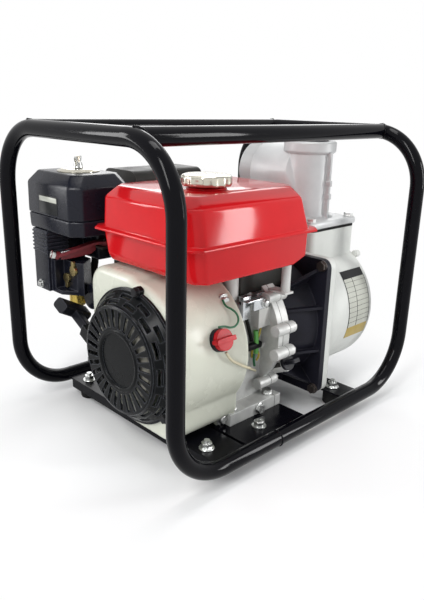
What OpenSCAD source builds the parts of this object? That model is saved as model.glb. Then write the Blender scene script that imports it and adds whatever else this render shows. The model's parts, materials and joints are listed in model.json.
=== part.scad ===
// Portable water pump: a small four-stroke engine drives a self-priming
// centrifugal pump, both carried in a roll frame of bent steel tube.
// +X runs from the recoil starter to the suction port, +Y from the switch side
// to the exhaust side, +Z up. The origin lies on the floor under the frame's middle.

/* [Roll frame] */
// Length between the axes of the two end hoops
frame_l = 488; // [470:1:520]
// How much nearer to the middle the pump-end hoop stands
pump_end_in = 4; // [2:0.5:6]
// Width between the axes of the two bottom rails
frame_w = 364; // [356:1:390]
// Height of the top bars' axis above the floor
frame_h = 422; // [416:1:440]
// Height of the bottom rails' axis above the floor
rail_z = 27; // [24:0.5:32]
// Outer diameter of the frame tube
tube_d = 22; // [20:0.5:24]
// Wall of the frame tube
tube_wall = 1.5; // [1:0.1:3]
// Bend radius of the top corners
top_bend = 80; // [60:1:86]
// Bend radius where a leg turns into a rail
rail_bend = 80; // [60:1:90]
// Distance of each top rail from the middle
top_rail_y = 113; // [100:1:120]
// Place along the length where the two halves of a rail meet
rail_joint_x = -63; // [-80:1:-40]
// Length of the plug inside each rail joint
joiner_l = 70; // [40:1:100]

/* [Cross plates and feet] */
// Height of the plates' top face above the rail axis
plate_rise = 1; // [0:0.5:2]
// Sheet thickness of the cross plates
plate_t = 3; // [2:0.5:4]
// Depth of the plates' turned-down lips
lip_h = 12; // [8:1:13]
// Front edge of the plate under the recoil starter
front_plate_x = -170; // [-176:1:-168]
// Width of the plate under the recoil starter
front_plate_w = 58; // [50:1:60]
// Start of the strap under the pump
strap_x = 106; // [104:1:108]
// Width of the strap under the pump
strap_w = 40; // [36:1:42]
// Distance of the feet from the rail axis
foot_inset = 44; // [40:1:50]
// Diameter of a rubber foot
foot_d = 28; // [24:1:32]
// Stud diameter of the feet
stud_d = 8; // [6:0.5:10]

/* [Engine block] */
// Crankshaft distance from the middle, towards the switch side
crank_off = 37; // [33:1:40]
// Crankshaft height above the engine's base
crank_h = 109; // [108:0.5:112]
// Start of the engine's base along the length
base_x = -90; // [-94:1:-88]
// Length of the engine's base
base_l = 106; // [104:1:108]
// Height of the base flange
base_t = 17.5; // [14:0.5:20]
// Hole spacing of the base along the crankshaft
base_hole_l = 75.5; // [74:0.5:77]
// Distance from the crankshaft to the base holes on the switch side
base_hole_near = 70; // [68:0.5:71]
// Distance from the crankshaft to the base holes on the cylinder side
base_hole_far = 92; // [90:0.5:96]
// Start of the crankcase wall behind the fan housing
block_x = -80; // [-82:0.5:-78]
// Parting plane of crankcase and side cover
cover_x = 4; // [2:0.5:6]
// Thickness of the side cover
cover_t = 14; // [12:0.5:16]
// Radius of the side cover
cover_r = 92; // [88:0.5:93]
// Radius of the circle of cover bolts
cover_bolt_r = 98; // [97:0.5:100]
// Lean of the cylinder above level
cyl_lean = 20; // [15:0.5:21]
// Half width of the cylinder and head across the lean
cyl_half = 34; // [30:0.5:35]
// Distance from the crankshaft to the head joint
head_d = 104; // [98:0.5:106]
// Depth of the cylinder head
head_t = 34; // [30:0.5:35]
// Depth of the rocker cover
rocker_t = 18; // [14:0.5:20]

/* [Rotor] */
// Radius of the crankshaft in its bearings
shaft_r = 12.5; // [11:0.1:13]
// Radius of the pump end of the crankshaft
pump_shaft_r = 10; // [9:0.1:11]
// Radius of the flywheel
flywheel_r = 84; // [78:0.5:85]
// Count of the flywheel's fan blades
fan_blades = 16; // [12:1:20]
// Radius of the starter cup
cup_r = 38; // [34:0.5:42]

/* [Fan housing and recoil starter] */
// Radius of the fan housing about the crankshaft
housing_r = 101; // [100:0.5:103]
// Front face of the fan housing
housing_x = -192; // [-194:0.5:-190]
// Sheet thickness of the fan housing
housing_t = 2.5; // [1.5:0.1:3]
// Depth of the recoil cover in front of the fan housing
recoil_depth = 27; // [25:0.5:28]
// Radius of the recoil cover's front face
recoil_face_r = 74; // [70:0.5:76]
// Wall of the recoil cover
recoil_t = 2.5; // [2:0.1:3]
// Count of radial slots in the recoil cover's face
face_slots = 28; // [20:1:30]
// Count of slots in the recoil cover's side
side_slots = 14; // [10:1:16]
// Radius of the bare middle disc of the recoil cover
recoil_disc_r = 40; // [36:0.5:42]
// Radius at which the starter rope leaves the reel
rope_r = 52; // [48:0.5:54]
// Rise of the starter rope above level at its guide
rope_lean = 27; // [24:1:30]

/* [Fuel tank] */
// Middle of the tank along the length
tank_x = -71.25; // [-74:0.25:-68]
// Middle of the tank across the width
tank_y = -46; // [-49:1:-45]
// Length of the tank over its seam
tank_l = 242.5; // [234:0.5:248]
// Width of the tank over its seam
tank_w = 213; // [205:1:215]
// Width of the seam lip
seam_lip = 8; // [6:0.5:9]
// Height of the tank's floor above the ground
tank_floor_z = 251; // [249:0.5:256]
// Height of the seam above the ground
tank_seam_z = 295; // [290:0.5:298]
// Height of the shoulder above the ground
tank_shoulder_z = 340; // [334:0.5:344]
// Height of the tank's top above the ground
tank_top_z = 352.5; // [350:0.5:356]
// Sheet thickness of the tank
tank_wall = 2; // [1.2:0.1:3]
// Radius of the filler cap
cap_r = 33.5; // [31:0.5:36]
// Height of the filler cap
cap_h = 15.5; // [13:0.5:18]

/* [Air cleaner and exhaust] */
// Middle of the air cleaner along the length
cleaner_x = -162.5; // [-164:0.5:-161]
// Middle of the air cleaner across the width
cleaner_y = 127.5; // [126:0.5:128]
// Length of the air cleaner
cleaner_l = 99; // [95:1:101]
// Width of the air cleaner
cleaner_w = 127; // [122:1:128]
// Underside of the air cleaner above the ground
cleaner_z = 278; // [276:1:282]
// Height of the air cleaner's base
cleaner_base_h = 22; // [18:1:26]
// Height of the air cleaner's cover
cleaner_cover_h = 61; // [56:1:64]
// Radius of the plated disc on the air cleaner
disc_r = 30; // [26:0.5:32]
// Length of the muffler
muffler_l = 120; // [112:1:124]
// Width of the muffler
muffler_w = 68; // [62:1:70]
// Height of the muffler
muffler_h = 100; // [90:1:102]

/* [Pump] */
// Mating face of the pump casing on its adapter
casing_x = 88; // [86:0.5:90]
// Half side of the square casing flange
flange_half = 107; // [106:0.5:108]
// Thickness of the casing flange
flange_t = 12; // [10:0.5:14]
// Thickness of the adapter's square plate
adapter_plate_t = 10; // [8:0.5:12]
// Radius of the casing drum
drum_r = 105; // [102:0.5:106]
// Rise of the drum's axis above the crankshaft
drum_rise = 4; // [2:0.5:5]
// Far end of the casing drum
drum_end_x = 226; // [224:0.5:227]
// Radius of the drum's rounded edge
drum_edge = 20; // [14:0.5:24]
// Wall of the casing
casing_wall = 6; // [5:0.5:7]
// Rise of the suction port above the drum's axis
suction_rise = 15; // [12:0.5:16]
// Outer radius of the hose threads
port_r = 44; // [42:0.1:46]
// Length of the suction thread
suction_thread_l = 21; // [18:0.5:22]
// Radius of the suction bore
suction_bore_r = 36; // [34:0.5:38]
// Thickness of the suction flange
suction_flange_t = 8; // [6:0.5:9]
// Radius of the impeller
impeller_r = 60; // [54:0.5:62]
// Count of impeller vanes
impeller_vanes = 5; // [4:1:6]
// Middle of the discharge along the length
outlet_x = 157; // [156:0.5:160]
// Half side of the discharge flange
outlet_half = 58; // [56:0.5:59]
// Height of the neck's top face above the ground
neck_top_z = 274; // [272:0.5:278]
// Thickness of the discharge gasket
gasket_t = 3; // [2:0.1:4]
// Thickness of the elbow's flange
elbow_flange_t = 11; // [9:0.5:12]
// Radius of the elbow's riser
riser_r = 38; // [36:0.5:40]
// Height of the outlet's axis above the ground
outlet_z = 354; // [352:0.5:356]
// Distance from the riser's axis to the outlet's end
outlet_reach = 111; // [104:0.5:114]
// Length of the outlet's thread
outlet_thread_l = 27; // [24:0.5:30]
// Height of the collar's top above the ground
collar_top_z = 405; // [402:0.5:406]

/* [Fits] */
// Running clearance of shafts and pins, on the radius
run_gap = 0.05; // [0.02:0.01:0.09]
// Clearance between parts that move past each other
move_gap = 0.3; // [0.3:0.05:0.6]
// Gap left at welded and fitted seats
seat_gap = 0.05; // [0.02:0.01:0.1]
// Clearance of bolt holes, on the radius
hole_gap = 0.25; // [0.15:0.05:0.4]

/* [Hidden] */
$fn = 64;

hoop_x = frame_l / 2;
pump_hoop_x = hoop_x - pump_end_in;
leg_y = frame_w / 2;
tube_r = tube_d / 2;
deck_z = rail_z + plate_rise;
plate_y = leg_y - tube_r - seat_gap;
foot_y = leg_y - foot_inset;
front_foot_x = front_plate_x + 18;
pump_foot_x = strap_x + strap_w / 2;
crank_y = -crank_off;
crank_z = deck_z + crank_h;
base_top_z = deck_z + base_t;
base_near_y = crank_y - base_hole_near - 13;
base_far_y = crank_y + base_hole_far + 20;
base_bolt_x = base_x + (base_l - base_hole_l) / 2;
block_near_y = crank_y - 58;
block_far_y = crank_y + 78;
block_top_z = crank_z + 63;
pto_x = cover_x + cover_t;
bearing_r = 26;
bearing_w = 12;
cyl_x = (block_x + cover_x) / 2;
cyl_half_x = (cover_x - block_x) / 2 - 1;
bolt_af = 13;
bolt_d = 8;
stub_r = 9;
housing_low_z = deck_z + 6;
housing_far_y = crank_y + 99;
housing_side_y = max(crank_y + housing_r, housing_far_y + 2);
recoil_x = housing_x - recoil_depth;
recoil_flange_r = housing_r - 8;
recoil_bolt_r = recoil_flange_r + 2;
post_r = 8;
reel_x = recoil_x + recoil_t + 5;
reel_w = 22;
reel_r = rope_r + 4;
disc_x = -118;
flywheel_front_x = -150;
flywheel_hub_r = 25;
cup_x = -176;
cleaner_cover_z = cleaner_z + cleaner_base_h;
cleaner_top_z = cleaner_cover_z + cleaner_cover_h;
cap_x = tank_x - 20;
cap_y = tank_y - 17.5;
neck_r = 26;
cap_z = tank_top_z + 4;
shield_t = 1.5;
shield_gap = 8;
muffler_x = -10;
muffler_y = 146;
muffler_z = 245;
adapter_x = casing_x - adapter_plate_t;
bolt_half = flange_half - 9;
drum_z = crank_z + drum_rise;
cavity_r = drum_r - casing_wall;
cavity_end_x = drum_end_x - casing_wall;
suction_z = drum_z + suction_rise;
suction_face_x = drum_end_x + suction_flange_t;
suction_bolt_r = port_r + 14;
elbow_z = neck_top_z + gasket_t;
outlet_bolt_half = outlet_half - 9;
neck_bore_r = 44;
elbow_bore_r = 33;
seal_r = 20;
pivot_x = cavity_end_x - 6;
pivot_z = suction_z + suction_bore_r + 11;
pin_r = 3;

function rot2(p, a) = [p[0] * cos(a) - p[1] * sin(a), p[0] * sin(a) + p[1] * cos(a)];
function polar(r, a) = [crank_y + r * cos(a), crank_z + r * sin(a)];
function octagon(x0, y0, x1, y1, c) = [[x0 + c, y0], [x1 - c, y0], [x1, y0 + c], [x1, y1 - c],
    [x1 - c, y1], [x0 + c, y1], [x0, y1 - c], [x0, y0 + c]];

// Outlines: along_x takes an outline in (Y, Z), along_y one in (X, Z), along_z one in (X, Y).
module along_x(x0, x1) {
    translate([x0, 0, 0]) rotate([90, 0, 90]) linear_extrude(x1 - x0) children();
}
module along_y(y0, y1) {
    translate([0, y1, 0]) rotate([90, 0, 0]) linear_extrude(y1 - y0) children();
}
module along_z(z0, z1) {
    translate([0, 0, z0]) linear_extrude(z1 - z0) children();
}
module xcyl(r, x0, x1, y = crank_y, z = crank_z) {
    translate([x0, y, z]) rotate([0, 90, 0]) cylinder(r = r, h = x1 - x0);
}
module ycyl(r, y0, y1, x, z) {
    translate([x, y1, z]) rotate([90, 0, 0]) cylinder(r = r, h = y1 - y0);
}
module zcyl(r, z0, z1, x, y) {
    translate([x, y, z0]) cylinder(r = r, h = z1 - z0);
}
// Turned part about the X axis: its outline is drawn as [radius, x]
module turned_x(y = crank_y, z = crank_z) {
    translate([0, y, z]) rotate([0, 90, 0]) rotate_extrude() children();
}
module box(lo, hi) {
    translate(lo) cube(hi - lo);
}
module round_rect(x0, y0, x1, y1, r) {
    translate([x0 + r, y0]) square([x1 - x0 - 2 * r, y1 - y0]);
    translate([x0, y0 + r]) square([x1 - x0, y1 - y0 - 2 * r]);
    for (x = [x0 + r, x1 - r], y = [y0 + r, y1 - r]) translate([x, y]) circle(r);
}
// Flanged hex bolt standing on z = 0, its shank below
module hex_bolt(d, l, af) {
    translate([0, 0, -l]) cylinder(d = d, h = l);
    cylinder(d = af * 1.25, h = 1.8);
    cylinder(d = af / cos(30), h = d * 0.8, $fn = 6);
}
// Turns local +Z to point along the cylinder's lean, from the crankshaft's axis
module on_cylinder(d) {
    translate([cyl_x, crank_y, crank_z]) rotate([cyl_lean, 0, 0]) translate([0, d, 0]) children();
}
// Point on the fan housing's round side, local +Z facing outwards
module on_housing(x, a, r) {
    p = polar(r, a);
    translate([x, p[0], p[1]]) rotate([a - 90, 0, 0]) children();
}
// Tube swept along a list of points, closed at both ends
module swept_tube(points, r, sides = 8) {
    n = len(points);
    up = [0.83, 0.21, 0.52];
    tangents = [for (i = [0 : n - 1]) points[min(i + 1, n - 1)] - points[max(i - 1, 0)]];
    rings = [for (i = [0 : n - 1])
        let (a = cross(tangents[i], up), u = a / norm(a),
            b = cross(tangents[i], u), v = b / norm(b))
        for (k = [0 : sides - 1])
            points[i] + r * (u * cos(360 * k / sides) + v * sin(360 * k / sides))];
    side_faces = [for (i = [0 : n - 2], k = [0 : sides - 1])
        let (m = (k + 1) % sides, a = i * sides + k, b = i * sides + m)
        each [[a, b, a + sides], [b, b + sides, a + sides]]];
    caps = [for (k = [1 : sides - 2]) each [[0, k + 1, k],
        [(n - 1) * sides, (n - 1) * sides + k, (n - 1) * sides + k + 1]]];
    polyhedron(rings, concat(side_faces, caps));
}

// One end hoop with its two half rails, at +X, as a round bar of radius r
module hoop_bar(r, x_end, x_hoop) {
    for (s = [0, 1]) mirror([0, s, 0]) {
        translate([x_end, -leg_y, rail_z]) rotate([0, 90, 0])
            cylinder(r = r, h = x_hoop - rail_bend - x_end);
        translate([x_hoop - rail_bend, -leg_y, rail_z + rail_bend]) rotate([90, 0, 0])
            rotate([0, 0, -90]) rotate_extrude(angle = 90) translate([rail_bend, 0]) circle(r);
        translate([x_hoop, -leg_y, rail_z + rail_bend])
            cylinder(r = r, h = frame_h - top_bend - rail_z - rail_bend);
        translate([x_hoop, -leg_y + top_bend, frame_h - top_bend]) rotate([90, 0, 90])
            rotate([0, 0, 90]) rotate_extrude(angle = 90) translate([top_bend, 0]) circle(r);
    }
    ycyl(r, -leg_y + top_bend, leg_y - top_bend, x_hoop, frame_h);
}
module hoop_tube(x_end, x_hoop) {
    difference() {
        hoop_bar(tube_r, x_end, x_hoop);
        hoop_bar(tube_r - tube_wall, x_end - 1, x_hoop);
    }
}
module engine_end_hoop() {
    color("#151515") mirror([1, 0, 0]) hoop_tube(-rail_joint_x, hoop_x);
}
module pump_end_hoop() {
    color("#151515") hoop_tube(rail_joint_x, pump_hoop_x);
}
module rail_joiners() {
    color("#303030") for (y = [-leg_y, leg_y])
        xcyl(tube_r - tube_wall - seat_gap, rail_joint_x - joiner_l / 2, rail_joint_x + joiner_l / 2, y,
            rail_z);
}
module top_rails() {
    color("#151515") for (y = [-top_rail_y, top_rail_y]) difference() {
        xcyl(tube_r, -hoop_x, pump_hoop_x, y, frame_h);
        xcyl(tube_r - tube_wall, -hoop_x - 1, hoop_x + 1, y, frame_h);
        hoop_bar(tube_r + seat_gap, 0, pump_hoop_x);
        mirror([1, 0, 0]) hoop_bar(tube_r + seat_gap, 0, hoop_x);
    }
}

// Pressed cross plate between the rails with lips turned down at both edges
module lipped_plate(x0, x1) {
    box([x0, -plate_y, deck_z - plate_t], [x1, plate_y, deck_z]);
    for (x = [x0, x1 - plate_t])
        box([x, -plate_y + tube_r, deck_z - plate_t - lip_h],
            [x + plate_t, plate_y - tube_r, deck_z - plate_t]);
}
module stud_holes(x, z0) {
    for (y = [-foot_y, foot_y]) zcyl(stud_d / 2 + hole_gap, z0, deck_z + 1, x, y);
}
module front_cross_plate() {
    color("#181818") difference() {
        lipped_plate(front_plate_x, front_plate_x + front_plate_w);
        stud_holes(front_foot_x, 0);
    }
}
module engine_base_plate() {
    color("#181818") difference() {
        lipped_plate(base_x - 17, base_x + base_l);
        for (p = base_bolt_places()) zcyl(bolt_d / 2 + hole_gap, 0, deck_z + 1, p[0], p[1]);
    }
}
module pump_cross_strap() {
    color("#181818") difference() {
        box([strap_x, -plate_y, deck_z - plate_t], [strap_x + strap_w, plate_y, deck_z]);
        stud_holes(pump_foot_x, 0);
        for (y = pump_foot_ys()) zcyl(bolt_d / 2 + hole_gap, 0, deck_z + 1, pump_foot_x, y);
    }
}
function foot_places() = [for (x = [front_foot_x, pump_foot_x], y = [-foot_y, foot_y]) [x, y]];
function base_bolt_places() = [for (x = [base_bolt_x, base_bolt_x + base_hole_l],
    y = [crank_y - base_hole_near, crank_y + base_hole_far]) [x, y]];
function pump_foot_ys() = [crank_y - 24, crank_y + 24];
module rubber_feet() {
    foot_h = deck_z - plate_t;
    color("#101010") for (p = foot_places()) translate([p[0], p[1], 0]) difference() {
        rotate_extrude() {
            square([foot_d / 2 - 3, foot_h]);
            translate([0, 3]) square([foot_d / 2, foot_h - 6]);
            translate([0, foot_h - 4]) square([foot_d / 2 - 2, 4]);
            translate([foot_d / 2 - 3, 3]) circle(3);
        }
        translate([0, 0, foot_h - 15]) cylinder(d = stud_d + 2 * seat_gap, h = 16);
    }
}
// Stud of a foot with its washer and nut on the plate
module foot_bolts() {
    color("silver") for (p = foot_places()) translate([p[0], p[1], deck_z]) {
        translate([0, 0, -plate_t - 14]) cylinder(d = stud_d, h = plate_t + 14 + 12);
        cylinder(d = stud_d * 2.1, h = 1.6);
        cylinder(d = bolt_af / cos(30), h = 8, $fn = 6);
    }
}

// Engine
function cover_bolt_angles() = [227, 190, 169, 140, 95, 40, 350, 318];
module cover_outline() {
    translate([crank_y, crank_z]) circle(cover_r);
    for (a = cover_bolt_angles()) translate(polar(cover_bolt_r, a)) circle(8.5);
}
module base_block(grow = 0) {
    box([base_x - grow, base_near_y - grow, deck_z - grow],
        [base_x + base_l + grow, base_far_y + grow, base_top_z + grow]);
}
module barrel() {
    on_cylinder(30) rotate([-90, 0, 0]) cylinder(r = cyl_half - 4, h = head_d - 30);
    for (i = [0 : 6]) on_cylinder(head_d - 3 - 7 * i)
        box([-cyl_half_x, -1.3, -cyl_half], [cyl_half_x, 1.3, cyl_half]);
    on_cylinder(head_d - 3) box([-cyl_half_x, -3, -cyl_half], [cyl_half_x, 3, cyl_half]);
}
module crankcase() {
    color("#b9bcbd") difference() {
        union() {
            base_block();
            along_x(block_x, cover_x) round_rect(block_near_y, deck_z + 6, block_far_y, block_top_z, 16);
            difference() {
                along_x(cover_x - 10, cover_x) cover_outline();
                box([cover_x - 20, base_near_y - 20, 0], [cover_x + 1, base_far_y + 60, base_top_z]);
            }
            for (a = cover_bolt_angles()) translate([cover_x - 24, polar(cover_bolt_r, a)[0],
                polar(cover_bolt_r, a)[1]])
                rotate([0, 90, 0]) cylinder(r = 8.5, h = 24);
            barrel();
        }
        xcyl(bearing_r + seat_gap, block_x - 1, block_x + bearing_w);
        xcyl(shaft_r + 3, block_x, cover_x + 1);
        for (p = base_bolt_places()) zcyl(bolt_d / 2 + hole_gap, 0, base_top_z + 1, p[0], p[1]);
        for (a = cover_bolt_angles()) xcyl(bolt_d / 2 - 1 + hole_gap, cover_x - 13, cover_x + 1,
            polar(cover_bolt_r, a)[0], polar(cover_bolt_r, a)[1]);
        ycyl(bolt_d / 2 + hole_gap, base_near_y - 1, base_near_y + 13, drain_x(), deck_z + 9);
    }
}
function drain_x() = base_x + base_l * 0.56;
// Frame of the oil filler, with +Z out along the neck and the origin on the neck's end
module filler_frame() {
    translate([cover_x + 13, crank_y - cover_r + 2.5, crank_z - 40]) rotate([64, 0, 0]) children();
}
module crankcase_cover() {
    color("#c3c5c4") difference() {
        union() {
            along_x(cover_x, pto_x) cover_outline();
            filler_frame() translate([0, 0, -22]) cylinder(r = 13, h = 22);
        }
        box([cover_x - 1, base_near_y - 20, 0], [pto_x + 12, base_far_y + 60, base_top_z + seat_gap]);
        xcyl(bearing_r + seat_gap, cover_x - 1, cover_x + bearing_w);
        xcyl(shaft_r + 0.8, cover_x, pto_x + 1);
        for (a = cover_bolt_angles()) xcyl(bolt_d / 2 - 1 + hole_gap, cover_x - 1, pto_x + 1,
            polar(cover_bolt_r, a)[0], polar(cover_bolt_r, a)[1]);
        filler_frame() translate([0, 0, -14]) cylinder(r = 8 + run_gap, h = 30);
        filler_frame() cylinder(r = 12 + 2 * move_gap, h = 14);
        box([cover_x - 60, crank_y - 200, crank_z - 200], [cover_x, crank_y + 200, crank_z + 200]);
    }
}
module engine_bolts() {
    color("silver") {
        for (p = base_bolt_places()) translate([p[0], p[1], base_top_z])
            hex_bolt(bolt_d, base_t + plate_t, bolt_af);
        for (a = cover_bolt_angles()) translate([pto_x, polar(cover_bolt_r, a)[0],
            polar(cover_bolt_r, a)[1]])
            rotate([0, 90, 0]) hex_bolt(bolt_d - 2, cover_t + 11, bolt_af - 3);
        translate([drain_x(), base_near_y, deck_z + 9]) rotate([90, 0, 0]) hex_bolt(bolt_d, 12, bolt_af);
    }
}
module main_bearings() {
    color("#8d9296") for (x = [block_x, cover_x]) difference() {
        xcyl(bearing_r, x, x + bearing_w);
        xcyl(shaft_r + run_gap, x - 1, x + bearing_w + 1);
    }
}
module crankshaft() {
    color("#9aa0a4") union() {
        xcyl(shaft_r, flywheel_front_x, pto_x + 6);
        xcyl(pump_shaft_r, pto_x + 6, impeller_x() + 26);
        xcyl(8, flywheel_front_x - 16, flywheel_front_x);
    }
}
module flywheel() {
    rim_x = disc_x + 14;
    color("#7c8084") difference() {
        union() {
            xcyl(flywheel_hub_r, flywheel_front_x, rim_x);
            xcyl(flywheel_r, disc_x, disc_x + 4);
            difference() {
                xcyl(flywheel_r, disc_x, rim_x);
                xcyl(flywheel_r - 10, disc_x - 1, rim_x + 1);
            }
            for (i = [0 : fan_blades - 1]) translate([0, crank_y, crank_z])
                rotate([360 * i / fan_blades, 0, 0])
                box([flywheel_front_x + 4, 42, -1.5], [disc_x + 1, flywheel_r - 3, 1.5]);
        }
        xcyl(shaft_r + seat_gap, flywheel_front_x - 1, rim_x + 1);
    }
}
module starter_cup() {
    color("#6a6d70") difference() {
        union() {
            difference() {
                xcyl(cup_r, cup_x, flywheel_front_x);
                xcyl(cup_r - 2.5, cup_x - 1, flywheel_front_x - 3);
            }
            translate([flywheel_front_x - 15, crank_y, crank_z]) rotate([0, 90, 0])
                cylinder(d = 22 / cos(30), h = 13, $fn = 6);
        }
        xcyl(8 + seat_gap, cup_x, flywheel_front_x + 1);
    }
}
module cylinder_head() {
    color("#a9adaf") difference() {
        union() {
            on_cylinder(head_d) box([-cyl_half_x + 8, 0, -cyl_half + 5],
                [cyl_half_x - 12, head_t, cyl_half - 5]);
            for (i = [0 : 3]) on_cylinder(head_d + 2 + 8 * i)
                box([-cyl_half_x, 0, -cyl_half], [cyl_half_x, 3, cyl_half]);
            xcyl(stub_r, carb_x1, cyl_x - 20, carb_y(), carb_z());
            on_cylinder(head_d + head_t / 2) box([cyl_half_x - 13, -13, -19], [cyl_half_x + 4, 13, 8]);
        }
        on_cylinder(head_d + head_t / 2) translate([-20, 0, -cyl_half - 1])
            cylinder(r = 7 + seat_gap, h = 22);
    }
}
function carb_y() = housing_side_y + 18.7;
function carb_z() = crank_z + (head_d + head_t / 2) * sin(cyl_lean) + 6;
carb_x1 = cyl_x - cyl_half_x - 11;
carb_x0 = carb_x1 - 70;
module rocker_cover() {
    color("#2a2b2d") difference() {
        on_cylinder(head_d + head_t) rotate([-90, 0, 0]) linear_extrude(rocker_t)
            round_rect(-cyl_half_x + 10, -cyl_half + 5, cyl_half_x - 14, cyl_half - 5, 10);
        xcyl(stub_r + seat_gap, carb_x1, cyl_x - 20 + seat_gap, carb_y(), carb_z());
    }
}
// Spark plug in the underside of the head, with its cap pushed on
module plug_frame() {
    on_cylinder(head_d + head_t / 2) translate([-20, 0, -cyl_half]) rotate([180, 0, 0]) children();
}
module spark_plug() {
    color("#e4e2dc") plug_frame() {
        translate([0, 0, -14]) cylinder(r = 7, h = 14);
        cylinder(d = 20 / cos(30), h = 8, $fn = 6);
        translate([0, 0, 8]) cylinder(r = 5, h = 18);
    }
}
module spark_plug_cap() {
    color("#191919") plug_frame() difference() {
        union() {
            translate([0, 0, 12]) cylinder(r = 10, h = 26);
            translate([0, 0, 32]) rotate([0, 90, 0]) cylinder(r = 6, h = 22);
        }
        translate([0, 0, 11]) cylinder(r = 5 + seat_gap, h = 15 + seat_gap);
    }
}

// Fan housing and recoil starter
module housing_outline(inset = 0) {
    intersection() {
        translate([crank_y, crank_z]) circle(housing_r - inset);
        translate([crank_y - 2 * housing_r, housing_low_z + inset]) square(4 * housing_r);
    }
    round_rect(crank_y - 10 + inset, crank_z - 70 + inset, housing_far_y - inset,
        crank_z + housing_r + 6 - inset, 24 - inset);
    round_rect(crank_y - 82 + inset, housing_low_z + inset, crank_y + 30 - inset,
        crank_z - 20 - inset, 22 - inset);
}
module fan_housing() {
    color("#e6e3d2") difference() {
        along_x(housing_x, block_x) housing_outline();
        along_x(housing_x + housing_t, block_x + 1) housing_outline(housing_t);
        xcyl(recoil_flange_r - 5, housing_x - 1, housing_x + housing_t + 1);
        base_block(1);
        for (a = recoil_bolt_angles()) xcyl(3 + hole_gap, housing_x - 1, housing_x + 12,
            polar(recoil_bolt_r, a)[0], polar(recoil_bolt_r, a)[1]);
        on_housing(switch_x(), switch_a(), housing_r - 8) cylinder(r = 5, h = 20);
    }
}
function recoil_bolt_angles() = [100, 220, 340];
function switch_x() = -130;
function switch_a() = 160;
guide_p = [crank_y + recoil_flange_r - 1, crank_z + 16];
module rope_frame() {
    translate([reel_x + 7, guide_p[0], guide_p[1]]) rotate([rope_lean, 0, 0]) children();
}
module recoil_cover() {
    t = recoil_t;
    x0 = recoil_x;
    color("#17181a") difference() {
        union() {
            turned_x() difference() {
                union() {
                    polygon([[0, x0 + 2], [recoil_disc_r, x0 + 2], [recoil_disc_r, x0],
                        [recoil_face_r - 4, x0],
                        [recoil_face_r - 1, x0 + 1.2], [recoil_face_r, x0 + 4], [recoil_flange_r - 3,
                            housing_x - 5],
                        [recoil_flange_r, housing_x - 4], [recoil_flange_r, housing_x], [0, housing_x]]);
                }
                polygon([[-1, x0 + t + 2], [recoil_disc_r + t, x0 + t + 2], [recoil_disc_r + t, x0 + t],
                    [recoil_face_r - 5, x0 + t],
                    [recoil_face_r - t, x0 + 5], [recoil_flange_r - 6, housing_x - 5 + t],
                        [recoil_flange_r - 6, housing_x + 1], [-1, housing_x + 1]]);
            }
            xcyl(post_r, x0 + 3, reel_x + reel_w + 6);
            for (a = recoil_bolt_angles()) xcyl(6.5, housing_x - 7, housing_x,
                polar(recoil_bolt_r, a)[0], polar(recoil_bolt_r, a)[1]);
            difference() {
                rope_frame() box([-10, -60, -9], [9, 0, 9]);
                xcyl(recoil_face_r - 3, x0, housing_x + 1);
                box([housing_x, -300, 0], [housing_x + 60, 300, 400]);
            }
        }
        for (i = [0 : face_slots - 1]) translate([0, crank_y, crank_z])
            rotate([360 * (i + 0.5) / face_slots, 0, 0])
            box([x0 - 1, recoil_disc_r + 5, -3.1], [x0 + 7, recoil_face_r - 5, 3.1]);
        for (i = [0 : side_slots - 1], k = [0, 1]) if (!near_guide(360 * (i + 0.5 * k) / side_slots))
            translate([0, crank_y, crank_z]) rotate([360 * (i + 0.5 * k) / side_slots, 0, 0])
                box([x0 + 6 + 7.5 * k, recoil_face_r - 8, -11],
                    [x0 + 11 + 7.5 * k, recoil_flange_r + 2, 11]);
        rope_frame() translate([0, -70, 0]) rotate([-90, 0, 0]) cylinder(r = 4, h = 72);
        for (a = recoil_bolt_angles()) xcyl(3 + hole_gap, housing_x - 12, housing_x + 1,
            polar(recoil_bolt_r, a)[0], polar(recoil_bolt_r, a)[1]);
    }
}
function near_guide(a) = a < 40 || a > 340;
module recoil_bolts() {
    color("#a8abad") for (a = recoil_bolt_angles())
        translate([housing_x - 7, polar(recoil_bolt_r, a)[0], polar(recoil_bolt_r, a)[1]])
        rotate([0, -90, 0]) hex_bolt(6, 7 + housing_t + 4, 10);
}
module rope_reel() {
    color("#d8d4c8") difference() {
        union() {
            xcyl(reel_r, reel_x, reel_x + 2.5);
            xcyl(rope_r, reel_x, reel_x + 14);
            xcyl(reel_r, reel_x + 11.5, reel_x + 14);
            xcyl(20, reel_x, reel_x + reel_w);
        }
        xcyl(post_r + run_gap, reel_x - 1, reel_x + reel_w + 1);
    }
}
module starter_handle() {
    color("#1b1c1e") rope_frame() translate([0, move_gap, 0]) rotate([0, 32, 0]) {
        along_y(0, 30) round_rect(-7.5, -6, 7.5, 6, 2);
        along_x(-28, 28) round_rect(28, -8, 51, 8, 5);
    }
}

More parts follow.
